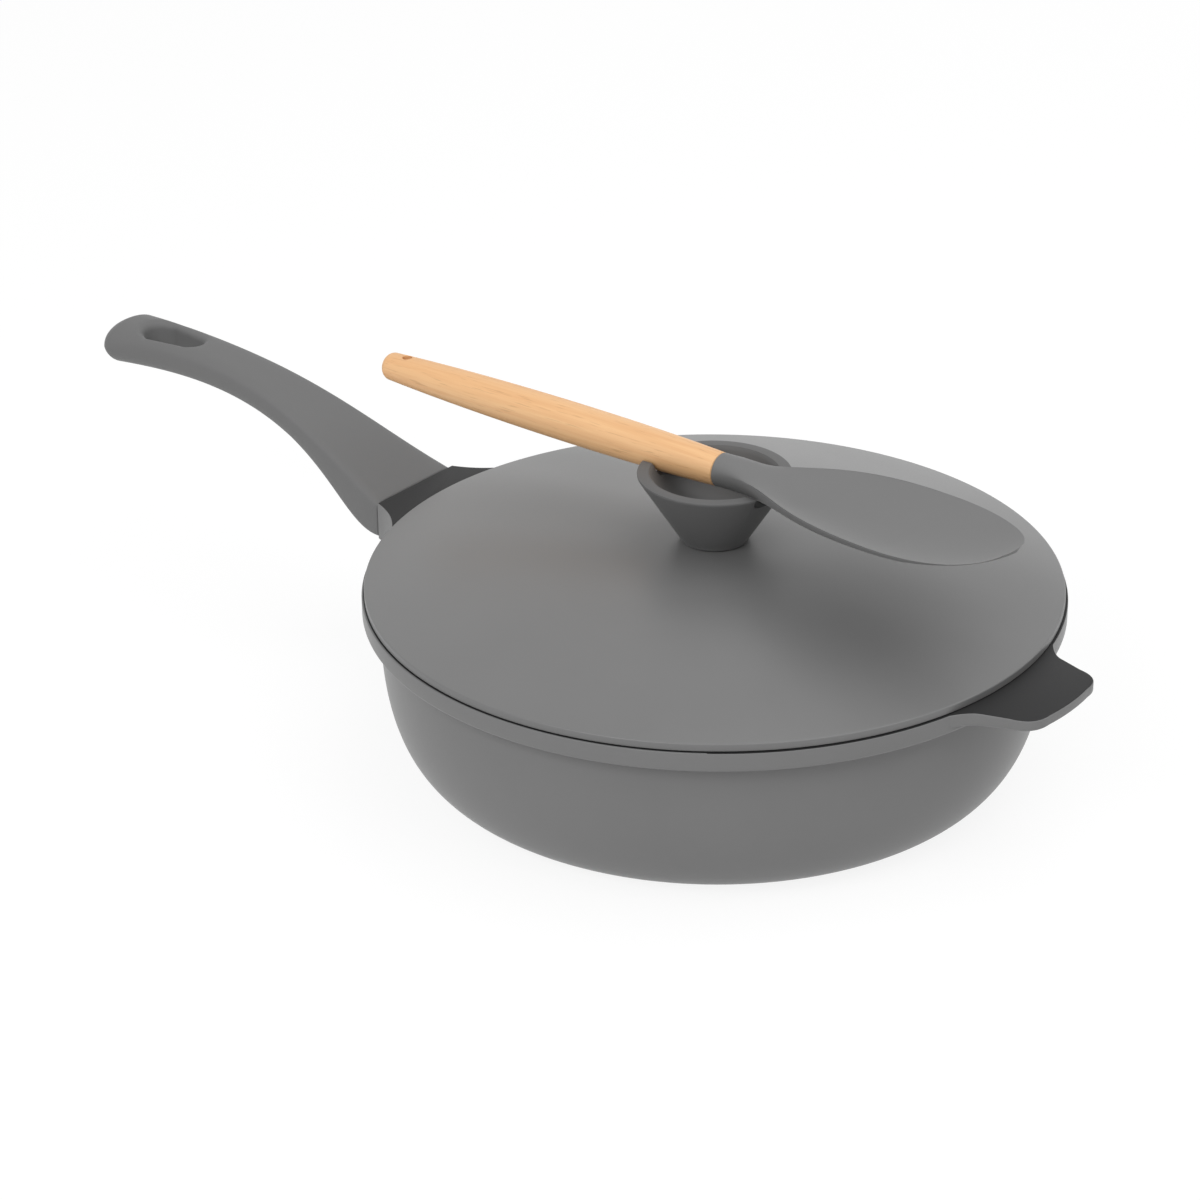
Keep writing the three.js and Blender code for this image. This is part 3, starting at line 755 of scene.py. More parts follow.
@dataclass(frozen=True)
class Beech(Finish):
    """Oiled beech with its grain along X: pale and brown streaks, and short dark flecks."""

    streak_colour: Colour = (0.68, 0.3, 0.11)
    fleck_colour: Colour = (0.42, 0.19, 0.07)
    bands: GrainLayer = GrainLayer((5, 70, 70), 3, 0.36, 0.68, 0.3)
    streaks: GrainLayer = GrainLayer((16, 620, 620), 3, 0.42, 0.72, 0.35)
    flecks: GrainLayer = GrainLayer((95, 1500, 1500), 1, 0.62, 0.74, 0.3)
    roughness: float = 0.48
    streak_gloss: float = 0.12
    specular: float = 0.75
    pore_share: float = 0.5
    pore_strength: float = 0.22
    pore_depth: float = 0.06 * MM

    def lay(self, bench: NodeBench) -> None:
        """Adds the nodes of the finish.

        Args:
            bench: The bench of the material's node tree.
        """
        bands, streaks, flecks = (layer.lay(bench) for layer in (self.bands, self.streaks, self.flecks))
        tone = bench.mix(bands * self.bands.share, self.colour, self.streak_colour)
        tone = bench.mix(streaks * self.streaks.share, tone, self.streak_colour)
        tone = bench.mix(flecks * self.flecks.share, tone, self.fleck_colour)
        height = 1 - streaks * self.pore_share - flecks * self.pore_share
        bench.surface({
            "Base Color": tone,
            "Roughness": streaks * self.streak_gloss + self.roughness,
            "Normal": bench.bump(height, self.pore_strength, self.pore_depth),
            "Specular IOR Level": self.specular,
        })


class FinishSet:
    """The materials of the object, each made once."""

    def __init__(self) -> None:
        """Makes every material."""
        self.pan = Coating("grey_pan_coat", (0.188, 0.188, 0.188), roughness=0.45, specular=0.25, sheen=0.1,
                           gloss_coat=0.12).material()
        self.lid = Coating("grey_lid_coat", (0.169, 0.169, 0.169), roughness=0.38).material()
        self.nonstick = Coating("charcoal_nonstick", (0.022, 0.022, 0.0225), roughness=0.58, specular=0.2,
                                grain_size=0.5 * MM, cloud_share=0.1, sheen=0.0).material()
        self.handle = Coating("soft_touch_grip", (0.165, 0.165, 0.165), roughness=0.6, specular=0.35,
                              grain_strength=0.16).material()
        self.knob = Coating("soft_touch_knob", (0.118, 0.118, 0.118), roughness=0.6, specular=0.35,
                            grain_strength=0.16).material()
        self.silicone = Coating("grey_silicone", (0.181, 0.181, 0.181), roughness=0.62, specular=0.4,
                                grain_size=0.5 * MM, grain_strength=0.08).material()
        self.nylon = Coating("dark_nylon", (0.05, 0.05, 0.05), roughness=0.55).material()
        self.base = TurnedMetal("turned_base", (0.55, 0.555, 0.56)).material()
        self.steel = TurnedMetal("bright_steel", (0.6, 0.61, 0.62), roughness=0.34,
                                 ring_pitch=0.3 * MM).material()
        self.brass = TurnedMetal("plain_brass", (0.62, 0.43, 0.17), roughness=0.36,
                                 ring_pitch=0.4 * MM).material()
        self.beech = Beech("oiled_beech", (0.91, 0.555, 0.272)).material()


# Pan


@dataclass
class PanCasting:
    """Cast bowl with its rim band, helper handle, boss and tenon."""

    rim_height: float = field(default_factory=lambda: box_top("pan_body"))
    rim_radius: float = field(default_factory=lambda: box_half_width("pan_body"))
    rim_overhang: float = 7.1 * MM
    band_height: float = 8.2 * MM
    band_round: float = 0.35 * MM
    band_lower_round: float = 1.5 * MM
    band_root_round: float = 0.6 * MM
    base_radius: float = 100 * MM
    # The rim top's outer strip, this wide, keeps the grey outside coat instead of the charcoal nonstick
    # between the two places along X below. It is a painted highlight along the rim edge, and it also
    # narrows the shaded line under the lid.
    highlight_strip_width: float = 0.7 * MM
    highlight_strip_start: float = -118 * MM
    highlight_strip_end: float = 84 * MM
    groove_radii: tuple[float, ...] = (34 * MM, 64 * MM, 91 * MM)
    groove_width: float = 1.6 * MM
    groove_depth: float = 0.5 * MM
    base_fullness: float = 2.9
    wall_fullness: float = 2.6
    wall_thickness: float = 3.2 * MM
    floor_thickness: float = 4.5 * MM
    helper_root: float = 38 * MM
    helper_side: float = 29 * MM
    helper_tip: float = 26 * MM
    helper_side_start: float = 5 * MM
    helper_root_sweep: float = 1 * MM
    helper_corner: float = 12 * MM
    helper_corner_pull: float = 1.5 * MM
    helper_bow: float = 1 * MM
    helper_thickness: float = 5.6 * MM
    helper_tip_thickness: float = 4.2 * MM
    boss_reach: float = 17.2 * MM
    boss_half_width: float = 25 * MM
    boss_root: float = 46 * MM
    boss_flare: float = 6 * MM
    boss_depth: float = 17.5 * MM
    edge_round: float = 0.4 * MM
    foot_round: float = 1.0 * MM
    edge_segments: int = 4
    tenon_length: float = 22 * MM
    tenon_width: float = 22 * MM
    tenon_height: float = 7 * MM
    tenon_below_rim: float = 1.8 * MM
    facets: int = 224
    wall_steps: int = 40

    @property
    def wall_radius(self) -> float:
        """Outside radius of the wall under the rim band."""
        return self.rim_radius - self.rim_overhang

    @property
    def mouth_radius(self) -> float:
        """Inside radius at the rim."""
        return self.wall_radius - self.wall_thickness

    @property
    def boss_face(self) -> float:
        """Place along X of the face that the long handle meets."""
        return -(self.rim_radius + self.boss_reach)

    def wall(self, floor_radius: float, floor: float, top_radius: float, top: float) -> list[Point]:
        """A full bowl curve from the edge of a floor to a rim.

        Args:
            floor_radius: Radius where the floor ends.
            floor: Height of the floor.
            top_radius: Radius at the rim.
            top: Height of the rim.

        Returns:
            Points of radius and height.
        """
        points = []
        for i in range(self.wall_steps + 1):
            angle = QUARTER_TURN * i / self.wall_steps
            out = math.sin(angle) ** (2 / self.base_fullness)
            up = 1 - max(0.0, math.cos(angle)) ** (2 / self.wall_fullness)
            points.append((floor_radius + (top_radius - floor_radius) * out, floor + (top - floor) * up))
        return points

    def outside(self) -> list[Point]:
        """Section of the bowl's outside, closed to the axis.

        Returns:
            Points of radius and height.
        """
        band = self.rim_height - self.band_height
        root = self.band_root_round
        lower = self.band_lower_round
        upper = self.band_round
        wall = [p for p in self.wall(self.base_radius, 0, self.wall_radius, band) if p[1] < band - root]
        mouth = self.groove_width / 2
        bed = self.groove_width / 4
        grooves = [(radius + off, depth) for radius in self.groove_radii for off, depth in
                   ((-mouth, 0), (-bed, self.groove_depth), (bed, self.groove_depth), (mouth, 0))]
        return [
            (0, 0),
            *grooves,
            *wall,
            *arc((self.wall_radius + root, band - root), root, 180, 90),
            *arc((self.rim_radius - lower, band + lower), lower, -90, 0),
            *arc((self.rim_radius - upper, self.rim_height - upper), upper, 0, 90),
            # Inner edge of the rim top's outer strip, which carries the painted highlight.
            (self.rim_radius - self.highlight_strip_width, self.rim_height),
            (0, self.rim_height),
        ]

    def cavity(self) -> list[Point]:
        """Section of the space inside, closed to the axis over the rim.

        Returns:
            Points of radius and height.
        """
        floor = self.floor_thickness
        return [
            (0, floor),
            *self.wall(self.base_radius - self.wall_thickness, floor, self.mouth_radius, self.rim_height),
            (self.mouth_radius, self.rim_height + CUT_MARGIN),
            (0, self.rim_height + CUT_MARGIN),
        ]

    def helper(self) -> bpy.types.Object:
        """The helper handle: a tab with swept roots and soft edges, thinner to the tip.

        Returns:
            The tab, before it is added to the bowl.
        """
        root = math.sqrt(self.rim_radius ** 2 - self.helper_root ** 2)
        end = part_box("pan_body")[1].x
        side = self.rim_radius + self.helper_side_start
        corner_end = self.helper_tip - self.helper_corner
        corner_start = (end - self.helper_corner, self.helper_tip)
        half = [
            (self.mouth_radius - CUT_MARGIN, self.helper_root),
            (root, self.helper_root),
            *bow((root, self.helper_root), (self.rim_radius, self.helper_side + self.helper_root_sweep),
                 (side, self.helper_side)),
            corner_start,
            *bow(corner_start, (end - self.helper_bow, self.helper_tip - self.helper_corner_pull),
                 (end - self.helper_bow, corner_end)),
            *bow((end - self.helper_bow, corner_end), (end, corner_end / 2), (end, 0)),
        ]
        bottom = self.rim_height - self.helper_thickness
        tab = extruded("helper_tab", [Vector((x, y, bottom)) for x, y in mirrored(half)],
                       Vector((0, 0, self.helper_thickness)))
        self.soften_slab(tab, bottom)
        thinner = self.helper_tip_thickness / self.helper_thickness - 1
        for vertex in tab.data.vertices:
            along = min(1.0, max(0.0, (vertex.co.x - self.rim_radius) / (end - self.rim_radius)))
            depth = self.rim_height - vertex.co.z
            vertex.co.z = self.rim_height - depth * (1 + thinner * along)
        return tab

    def boss(self) -> bpy.types.Object:
        """The boss: a block that flares into the rim and ends in the handle's seat.

        Returns:
            The block, before it is added to the bowl.
        """
        root = math.sqrt(self.rim_radius ** 2 - self.boss_root ** 2)
        half = [
            (self.boss_flare - self.mouth_radius, self.boss_root),
            (-root, self.boss_root),
            *bow((-root, self.boss_root), (-self.rim_radius, self.boss_half_width + self.boss_flare),
                 (self.boss_face, self.boss_half_width)),
        ]
        bottom = self.rim_height - self.boss_depth
        block = extruded("boss_block", [Vector((x, y, bottom)) for x, y in mirrored(half)],
                         Vector((0, 0, self.boss_depth)))
        self.soften_slab(block, bottom)
        return block

    def soften_slab(self, slab: bpy.types.Object, bottom: float) -> None:
        """Rounds a slab's edges: crisp round the top, softer round the bottom.

        Args:
            slab: A flat piece whose top is level with the rim.
            bottom: The height of its underside.
        """
        for level, radius in ((self.rim_height, self.edge_round), (bottom, self.foot_round)):
            soften(slab, lambda a, b: max(abs(a.z - level), abs(b.z - level)) < MERGE_DISTANCE, radius,
                   self.edge_segments)

    def tenon(self, clearance: float = 0.0) -> bpy.types.Object:
        """The tenon, or with a clearance the socket for it.

        Args:
            clearance: The gap round it.

        Returns:
            The block that is added or cut.
        """
        half = self.tenon_width / 2 + clearance
        top = self.rim_height - self.tenon_below_rim
        low = top - self.tenon_height - clearance
        far = self.boss_face - self.tenon_length - clearance
        corners = [(-half, low), (half, low), (half, top + clearance), (-half, top + clearance)]
        return extruded("tenon", [Vector((far, y, z)) for y, z in corners],
                        Vector((self.boss_face + CUT_MARGIN - far, 0, 0)))

    def build(self, finishes: FinishSet) -> None:
        """Makes and dresses the casting.

        Args:
            finishes: The object's materials.
        """
        casting = turned("pan_casting", self.outside(), self.facets)
        work(casting, self.helper(), Joinery.ADD)
        work(casting, self.boss(), Joinery.ADD)
        work(casting, turned("cavity", self.cavity(), self.facets), Joinery.CUT)
        work(casting, self.tenon(), Joinery.ADD)
        smooth(casting)
        dress(casting, finishes.pan)
        # The charcoal nonstick leaves the rim edge's outer strip grey, as a painted highlight.
        dress_faces(casting, finishes.nonstick, self.is_inside)
        dress_faces(casting, finishes.base, self.is_base)
        seat(casting, Body.PAN, Slot.PAN_COATING, "pan_body")

    def is_inside(self, centre: Vector, normal: Vector) -> bool:
        """Tells the nonstick inside and the top of the rim and handles, but for the rim edge's outer strip,
        which keeps the grey coat as a painted highlight.

        Args:
            centre: The face's centre.
            normal: Its normal.

        Returns:
            Whether it has the nonstick coat.
        """
        reach = math.hypot(centre.x, centre.y)
        # Outer strip of the rim top over part of the way round: left grey, as a painted highlight.
        painted_highlight = reach > self.rim_radius - self.highlight_strip_width and self.highlight_strip_start < centre.x < self.highlight_strip_end
        level = normal.z > LEVEL_NORMAL
        top = centre.z > self.rim_height - FACE_TOLERANCE and level and not painted_highlight
        facing_in = normal.x * centre.x + normal.y * centre.y < 0 or level
        over_floor = centre.z > self.floor_thickness - FACE_TOLERANCE
        inside = reach < self.mouth_radius + FACE_TOLERANCE and over_floor
        return top or (inside and facing_in)

    def is_base(self, centre: Vector, normal: Vector) -> bool:
        """Whether a face is on the turned underside."""
        low = centre.z < self.groove_depth + FACE_TOLERANCE
        return low and math.hypot(centre.x, centre.y) < self.base_radius


@dataclass
class LongHandle:
    """Moulded handle: boxy at the boss, rounder and wider again at the tip, with a tapered hanging slot."""

    pan: PanCasting
    length: float = 180 * MM
    end_rise: float = 36.6 * MM
    end_thickness: float = 21.6 * MM
    end_half_width: float = 18 * MM
    top_pulls: Pulls = ((60 * MM, 24.5 * MM), (84 * MM, 37.9 * MM))
    under_pulls: Pulls = ((35 * MM, -25.8 * MM), (37.3 * MM, 38.7 * MM))
    width_pulls: Pulls = ((45 * MM, 17 * MM), (104.2 * MM, 6.1 * MM))
    boss_squareness: float = 8
    tip_squareness: float = 1.96
    tip_round: float = 10.2 * MM
    tip_bluntness: float = 1.6
    under_taper: float = 0.16
    taper_run_in: float = 60 * MM
    seam: float = 0.5 * MM
    seam_round: float = 0.7 * MM
    dish_depth: float = 0.9 * MM
    dish_from_seam: float = 42 * MM
    dish_reach: float = 48 * MM
    slot_length: float = 31.9 * MM
    slot_tip_radius: float = 8.5 * MM
    slot_pan_radius: float = 6 * MM
    slot_from_tip: float = 21.4 * MM
    slot_lip: float = 4.2 * MM
    slot_draft: float = 1.6 * MM
    lip_run_out: float = 0.4
    under_lip: float = 1.2 * MM
    lip_angles: tuple[float, ...] = (66, 50, 36, 24, 12, 0)
    slot_tip_steps: int = 32
    slot_pan_steps: int = 24
    slot_overshoot: float = 9 * MM
    screw_from_seam: float = 11 * MM
    recess_radius: float = 5.05 * MM
    shank_radius: float = 2.75 * MM
    shelf: float = 3.4 * MM
    recess_facets: int = 48
    crease_angle: float = 36
    even_rings: int = 60
    tip_rings: int = 22
    points: int = 96

    def __post_init__(self) -> None:
        """Draws side view and plan: distance from the seam against height over the rim or half width."""
        end_under = self.end_rise - self.end_thickness
        self.top = Sweep((0, 0), *self.top_pulls, (self.length, self.end_rise))
        self.under = Sweep((0, -self.pan.boss_depth), *self.under_pulls, (self.length, end_under))
        self.width = Sweep((0, self.pan.boss_half_width), *self.width_pulls,
                           (self.length, self.end_half_width))

    @property
    def seam_face(self) -> float:
        """Place along X of the handle's own end face."""
        return self.pan.boss_face - self.seam

    def stations(self) -> list[tuple[float, float]]:
        """Places of the cross-sections, close together where the seam's edge and the tip are rounded.

        Returns:
            Distances from the seam, each with how far its section is drawn in.
        """
        soft = [(self.seam_round * (1 - math.cos(a)), self.seam_round * (1 - math.sin(a)))
                for a in (0, QUARTER_TURN / 3, QUARTER_TURN * 2 / 3, QUARTER_TURN)]
        straight = self.length - self.tip_round
        even = [(self.seam_round + (straight - self.seam_round) * i / self.even_rings, 0)
                for i in range(1, self.even_rings)]
        tip = [(straight + self.tip_round * math.sin(QUARTER_TURN * TIP_SHARE * i / self.tip_rings), 0)
               for i in range(self.tip_rings + 1)]
        return [*soft, *even, *tip]

    def half_width(self, along: float) -> float:
        """Half width at a distance from the seam, closing at the tip."""
        return self.width.at(along) * self.closing(along)

    def closing(self, along: float) -> float:
        """Share of the full section that is left towards the tip."""
        into_tip = max(0.0, along - (self.length - self.tip_round)) / self.tip_round
        return max(0.0, 1 - into_tip ** self.tip_bluntness) ** (1 / self.tip_bluntness)

    def squareness(self, along: float) -> float:
        """How boxy the section is at a distance from the seam: 2 is an ellipse."""
        change = self.tip_squareness - self.boss_squareness
        return self.boss_squareness + change * along / self.length

    def section_point(self, along: float, angle: float, drawn_in: float) -> Vector:
        """One point of the skin.

        Args:
            along: Distance from the seam.
            angle: Angle round the section.
            drawn_in: How much smaller the section is all round.

        Returns:
            The point in the object's frame.
        """
        top = self.top.at(along)
        under = self.under.at(along)
        half_width = self.half_width(along) - drawn_in
        half_height = (top - under) / 2 * self.closing(along) - drawn_in
        roundness = 2 / self.squareness(along)
        up = signed_power(math.sin(angle), roundness)
        taper = self.under_taper * min(1.0, along / self.taper_run_in)
        out = signed_power(math.cos(angle), roundness)
        across = half_width * out * (1 - taper * max(0.0, -up))
        height = self.pan.rim_height + (top + under) / 2 + half_height * up
        if up > 0:
            height -= self.dish(along) * (1 - out * out)
        return Vector((self.seam_face - along, across, height))

    def dish(self, along: float) -> float:
        """How far the middle of the top is hollowed at a distance from the seam."""
        off = (along - self.dish_from_seam) / self.dish_reach
        return self.dish_depth * max(0.0, 1 - off * off) ** 2

    def skin_height(self, x: float, y: float, side: int) -> float:
        """Height of the top or under skin over a point in plan.

        Args:
            x: The point's place along X.
            y: Its place across.
            side: 1 for the top skin and -1 for the under skin.

        Returns:
            The height in the object's frame.
        """
        along = self.seam_face - x
        top = self.top.at(along)
        under = self.under.at(along)
        squareness = self.squareness(along)
        taper = 0.0 if side > 0 else self.under_taper
        share = min(1.0, abs(y) / (self.half_width(along) * (1 - taper)))
        rise = (1 - share ** squareness) ** (1 / squareness) * (top - under) / 2 * self.closing(along)
        return self.pan.rim_height + (top + under) / 2 + side * rise

    def slot_outline(self, grown: float) -> list[Point]:
        """The slot in plan, grown by an amount.

        Args:
            grown: How much larger it is all round.

        Returns:
            Its corners in order.
        """
        tip = self.seam_face - self.length + self.slot_from_tip + self.slot_tip_radius
        pan = tip + self.slot_length - self.slot_tip_radius - self.slot_pan_radius
        return [
            *arc((tip, 0), self.slot_tip_radius + grown, 90, 270, self.slot_tip_steps),
            *arc((pan, 0), self.slot_pan_radius + grown, -90, 90, self.slot_pan_steps),
        ]

    def lip_curl(self, lip: float) -> list[Point]:
        """How a soft lip opens out towards the skin.

        Args:
            lip: The lip's radius.

        Returns:
            Pairs of growth and depth below the skin, from the outside in.
        """
        angles = [math.radians(a) for a in self.lip_angles]
        curl = [(lip * (1 - math.cos(a)), lip * (1 - math.sin(a))) for a in angles]
        grown, depth = curl[0]
        run_out = lip * self.lip_run_out
        curl.insert(0, (grown + run_out * math.sin(angles[0]), depth - run_out * math.cos(angles[0])))
        curl.insert(0, (curl[0][0], -self.slot_overshoot))
        return curl

    def slot_cutter(self) -> bpy.types.Object:
        """The slot's shape, narrower below, opening out in a soft lip at both skins.

        Returns:
            The solid that is cut away.
        """
        rings = [(g, d, 1) for g, d in self.lip_curl(self.slot_lip)]
        rings += [(g - self.slot_draft, d, -1) for g, d in reversed(self.lip_curl(self.under_lip))]
        outlines = {g: self.slot_outline(g) for g, _, _ in rings}
        count = len(outlines[rings[0][0]])

        def place(ring: int, angle: float) -> Vector:
            """A point of the cutter from its ring and angle.

            Args:
                ring: The ring's number.
                angle: The angle round it.

            Returns:
                The point in the object's frame.
            """
            grow, below, side = rings[ring]
            x, y = outlines[grow][round(angle / FULL_TURN * count) % count]
            return Vector((x, y, self.skin_height(x, y, side) - side * below))

        return lofted("slot_cutter", len(rings), count, place)

    def build(self, finishes: FinishSet) -> None:
        """Makes and dresses the handle.

        Args:
            finishes: The object's materials.
        """
        stations = self.stations()
        grip = lofted("handle_moulding", len(stations), self.points,
                      lambda ring, angle: self.section_point(stations[ring][0], angle, stations[ring][1]))
        work(grip, self.slot_cutter(), Joinery.CUT)
        work(grip, self.pan.tenon(SEAT_GAP), Joinery.CUT)
        work(grip, self.screw_recess(), Joinery.CUT)
        smooth(grip, self.crease_angle)
        dress(grip, finishes.handle)
        seat(grip, Body.PAN, Slot.HANDLE_GRIP, "long_handle")

    def screw_recess(self) -> bpy.types.Object:
        """The stepped hole from below for the screw.

        Returns:
            The solid that is cut away.
        """
        low = self.pan.rim_height - 2 * self.pan.boss_depth
        tenon_bottom = self.pan.rim_height - self.pan.tenon_below_rim - self.pan.tenon_height
        shelf = tenon_bottom - SEAT_GAP - self.shelf
        recess = turned("screw_recess", [
            (0, low), (self.recess_radius, low), (self.recess_radius, shelf),
            (self.shank_radius, shelf), (self.shank_radius, tenon_bottom + CUT_MARGIN),
            (0, tenon_bottom + CUT_MARGIN),
        ], self.recess_facets)
        recess.data.transform(Matrix.Translation((self.seam_face - self.screw_from_seam, 0, 0)))
        return recess


# Fasteners


@dataclass
class Screw:
    """Pan-head screw with its head down and a hex socket, in place of a packed one."""

    node: str
    body: Body
    diameter: float = 4.8 * MM
    head_height: float = 3 * MM
    head_round: float = 1 * MM
    socket: float = 4 * MM
    socket_depth: float = 1.8 * MM
    pitch: float = 0.8 * MM
    thread_depth: float = 0.35 * MM
    facets: int = 48

    def build(self, finishes: FinishSet) -> None:
        """Makes and dresses the screw.

        Args:
            finishes: The object's materials.
        """
        low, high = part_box(self.node)
        head = (high.y - low.y) / 2
        bearing = low.z + self.head_height
        shank = self.diameter / 2
        thread: list[Point] = []
        height = bearing + 2 * self.pitch
        while height + self.pitch < high.z - self.pitch / 2:
            thread += [(shank, height), (shank - self.thread_depth, height + self.pitch / 2)]
            height += self.pitch
        screw = turned(f"{self.node}_turned", [
            (0, low.z),
            *arc((head - self.head_round, low.z + self.head_round), self.head_round, -90, 0),
            (head, bearing),
            (shank, bearing),
            *thread,
            (shank, high.z - self.pitch / 2),
            (shank - self.thread_depth, high.z),
            (0, high.z),
        ], self.facets)
        hexagon = [Vector((x, y, low.z - CUT_MARGIN)) for x, y in round_points(self.socket / 2, 6)]
        socket = extruded("socket", hexagon, Vector((0, 0, CUT_MARGIN + self.socket_depth)))
        work(screw, socket, Joinery.CUT)
        screw.data.transform(Matrix.Translation(((low.x + high.x) / 2, (low.y + high.y) / 2, 0)))
        smooth(screw)
        dress(screw, finishes.steel)
        seat(screw, self.body, Slot.STEEL, self.node)


@dataclass
class Washer:
    """Flat or split washer with softened edges, in place of a packed one."""

    node: str
    body: Body
    bore_radius: float = 2.75 * MM
    edge: float = 0.15 * MM
    slit: float = 0.0
    facets: int = 64

    def build(self, finishes: FinishSet) -> None:
        """Makes and dresses the washer.

        Args:
            finishes: The object's materials.
        """
        low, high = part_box(self.node)
        outer = (high.y - low.y) / 2
        e = self.edge
        section = [
            (self.bore_radius + e, low.z), (outer - e, low.z), (outer, low.z + e), (outer, high.z - e),
            (outer - e, high.z), (self.bore_radius + e, high.z), (self.bore_radius, high.z - e),
            (self.bore_radius, low.z + e),
        ]
        ring = turned(f"{self.node}_ring", ringed(section), self.facets)
        if self.slit:
            half = self.slit / 2
            bottom, top = low.z - CUT_MARGIN, high.z + CUT_MARGIN
            corners = [Vector((0, y, z)) for y, z in
                       ((-half, bottom), (half, bottom), (half, top), (-half, top))]
            work(ring, extruded("slit", corners, Vector((2 * outer, 0, 0))), Joinery.CUT)
        ring.data.transform(Matrix.Translation((low.x + outer, 0, 0)))
        smooth(ring)
        dress(ring, finishes.steel)
        seat(ring, self.body, Slot.STEEL, self.node)


# Lid


@dataclass
class Lid:
    """Domed lid with an upright edge and a locating ring underneath."""

    pan: PanCasting
    radius: float = field(default_factory=lambda: box_half_width("lid_shell"))
    top: float = field(default_factory=lambda: box_top("lid_shell"))
    edge_height: float = 3.3 * MM
    edge_round: float = 0.7 * MM
    foot_round: float = 0.4 * MM
    thickness: float = 2.8 * MM
    ring_clearance: float = 0.8 * MM
    ring_thickness: float = 2.6 * MM
    seat_radius: float = 15 * MM
    hole_radius: float = 2.75 * MM
    edge_turn: float = 80
    ring_steps: int = 4
    facets: int = 256
    dome_steps: int = 48

    def dome(self, edge_radius: float, edge: float, top: float) -> list[Point]:
        """A dome line from the knob's seat down to an edge.

        Args:
            edge_radius: Radius of the edge.
            edge: Height of the edge.
            top: Height of the seat.

        Returns:
            Points of radius and height.
        """
        seat = self.seat_radius
        points = []
        for i in range(self.dome_steps + 1):
            radius = seat + (edge_radius - seat) * i / self.dome_steps
            drop = (radius ** 2 - seat ** 2) / (edge_radius ** 2 - seat ** 2)
            points.append((radius, top - (top - edge) * drop))
        return points

    def build(self, finishes: FinishSet) -> None:
        """Makes and dresses the lid.

        Args:
            finishes: The object's materials.
        """
        bottom = self.pan.rim_height + SEAT_GAP
        edge_top = bottom + self.edge_height
        ring_outer = self.pan.mouth_radius - self.ring_clearance
        ring_inner = ring_outer - self.ring_thickness
        ring_bottom = box_bottom("lid_shell")
        soft = self.ring_clearance
        under_edge = edge_top - self.thickness + self.edge_round
        under = self.dome(ring_inner, under_edge, self.top - self.thickness)
        over = self.dome(self.radius - self.edge_round, edge_top, self.top)
        shell = turned("lid_dome", ringed([
            (self.hole_radius, self.top - self.thickness),
            *under,
            *arc((ring_inner + soft, ring_bottom + soft), soft, 180, 270, self.ring_steps),
            *arc((ring_outer - soft, ring_bottom + soft), soft, -90, 0, self.ring_steps),
            (ring_outer, bottom),
            *arc((self.radius - self.foot_round, bottom + self.foot_round), self.foot_round, -90, 0),
            *arc((self.radius - self.edge_round, edge_top - self.edge_round), self.edge_round,
                 0, self.edge_turn),
            *reversed(over[:-1]),
            (self.hole_radius, self.top),
        ]), self.facets)
        smooth(shell)
        dress(shell, finishes.lid)
        seat(shell, Body.LID, Slot.LID_COATING, "lid_shell")


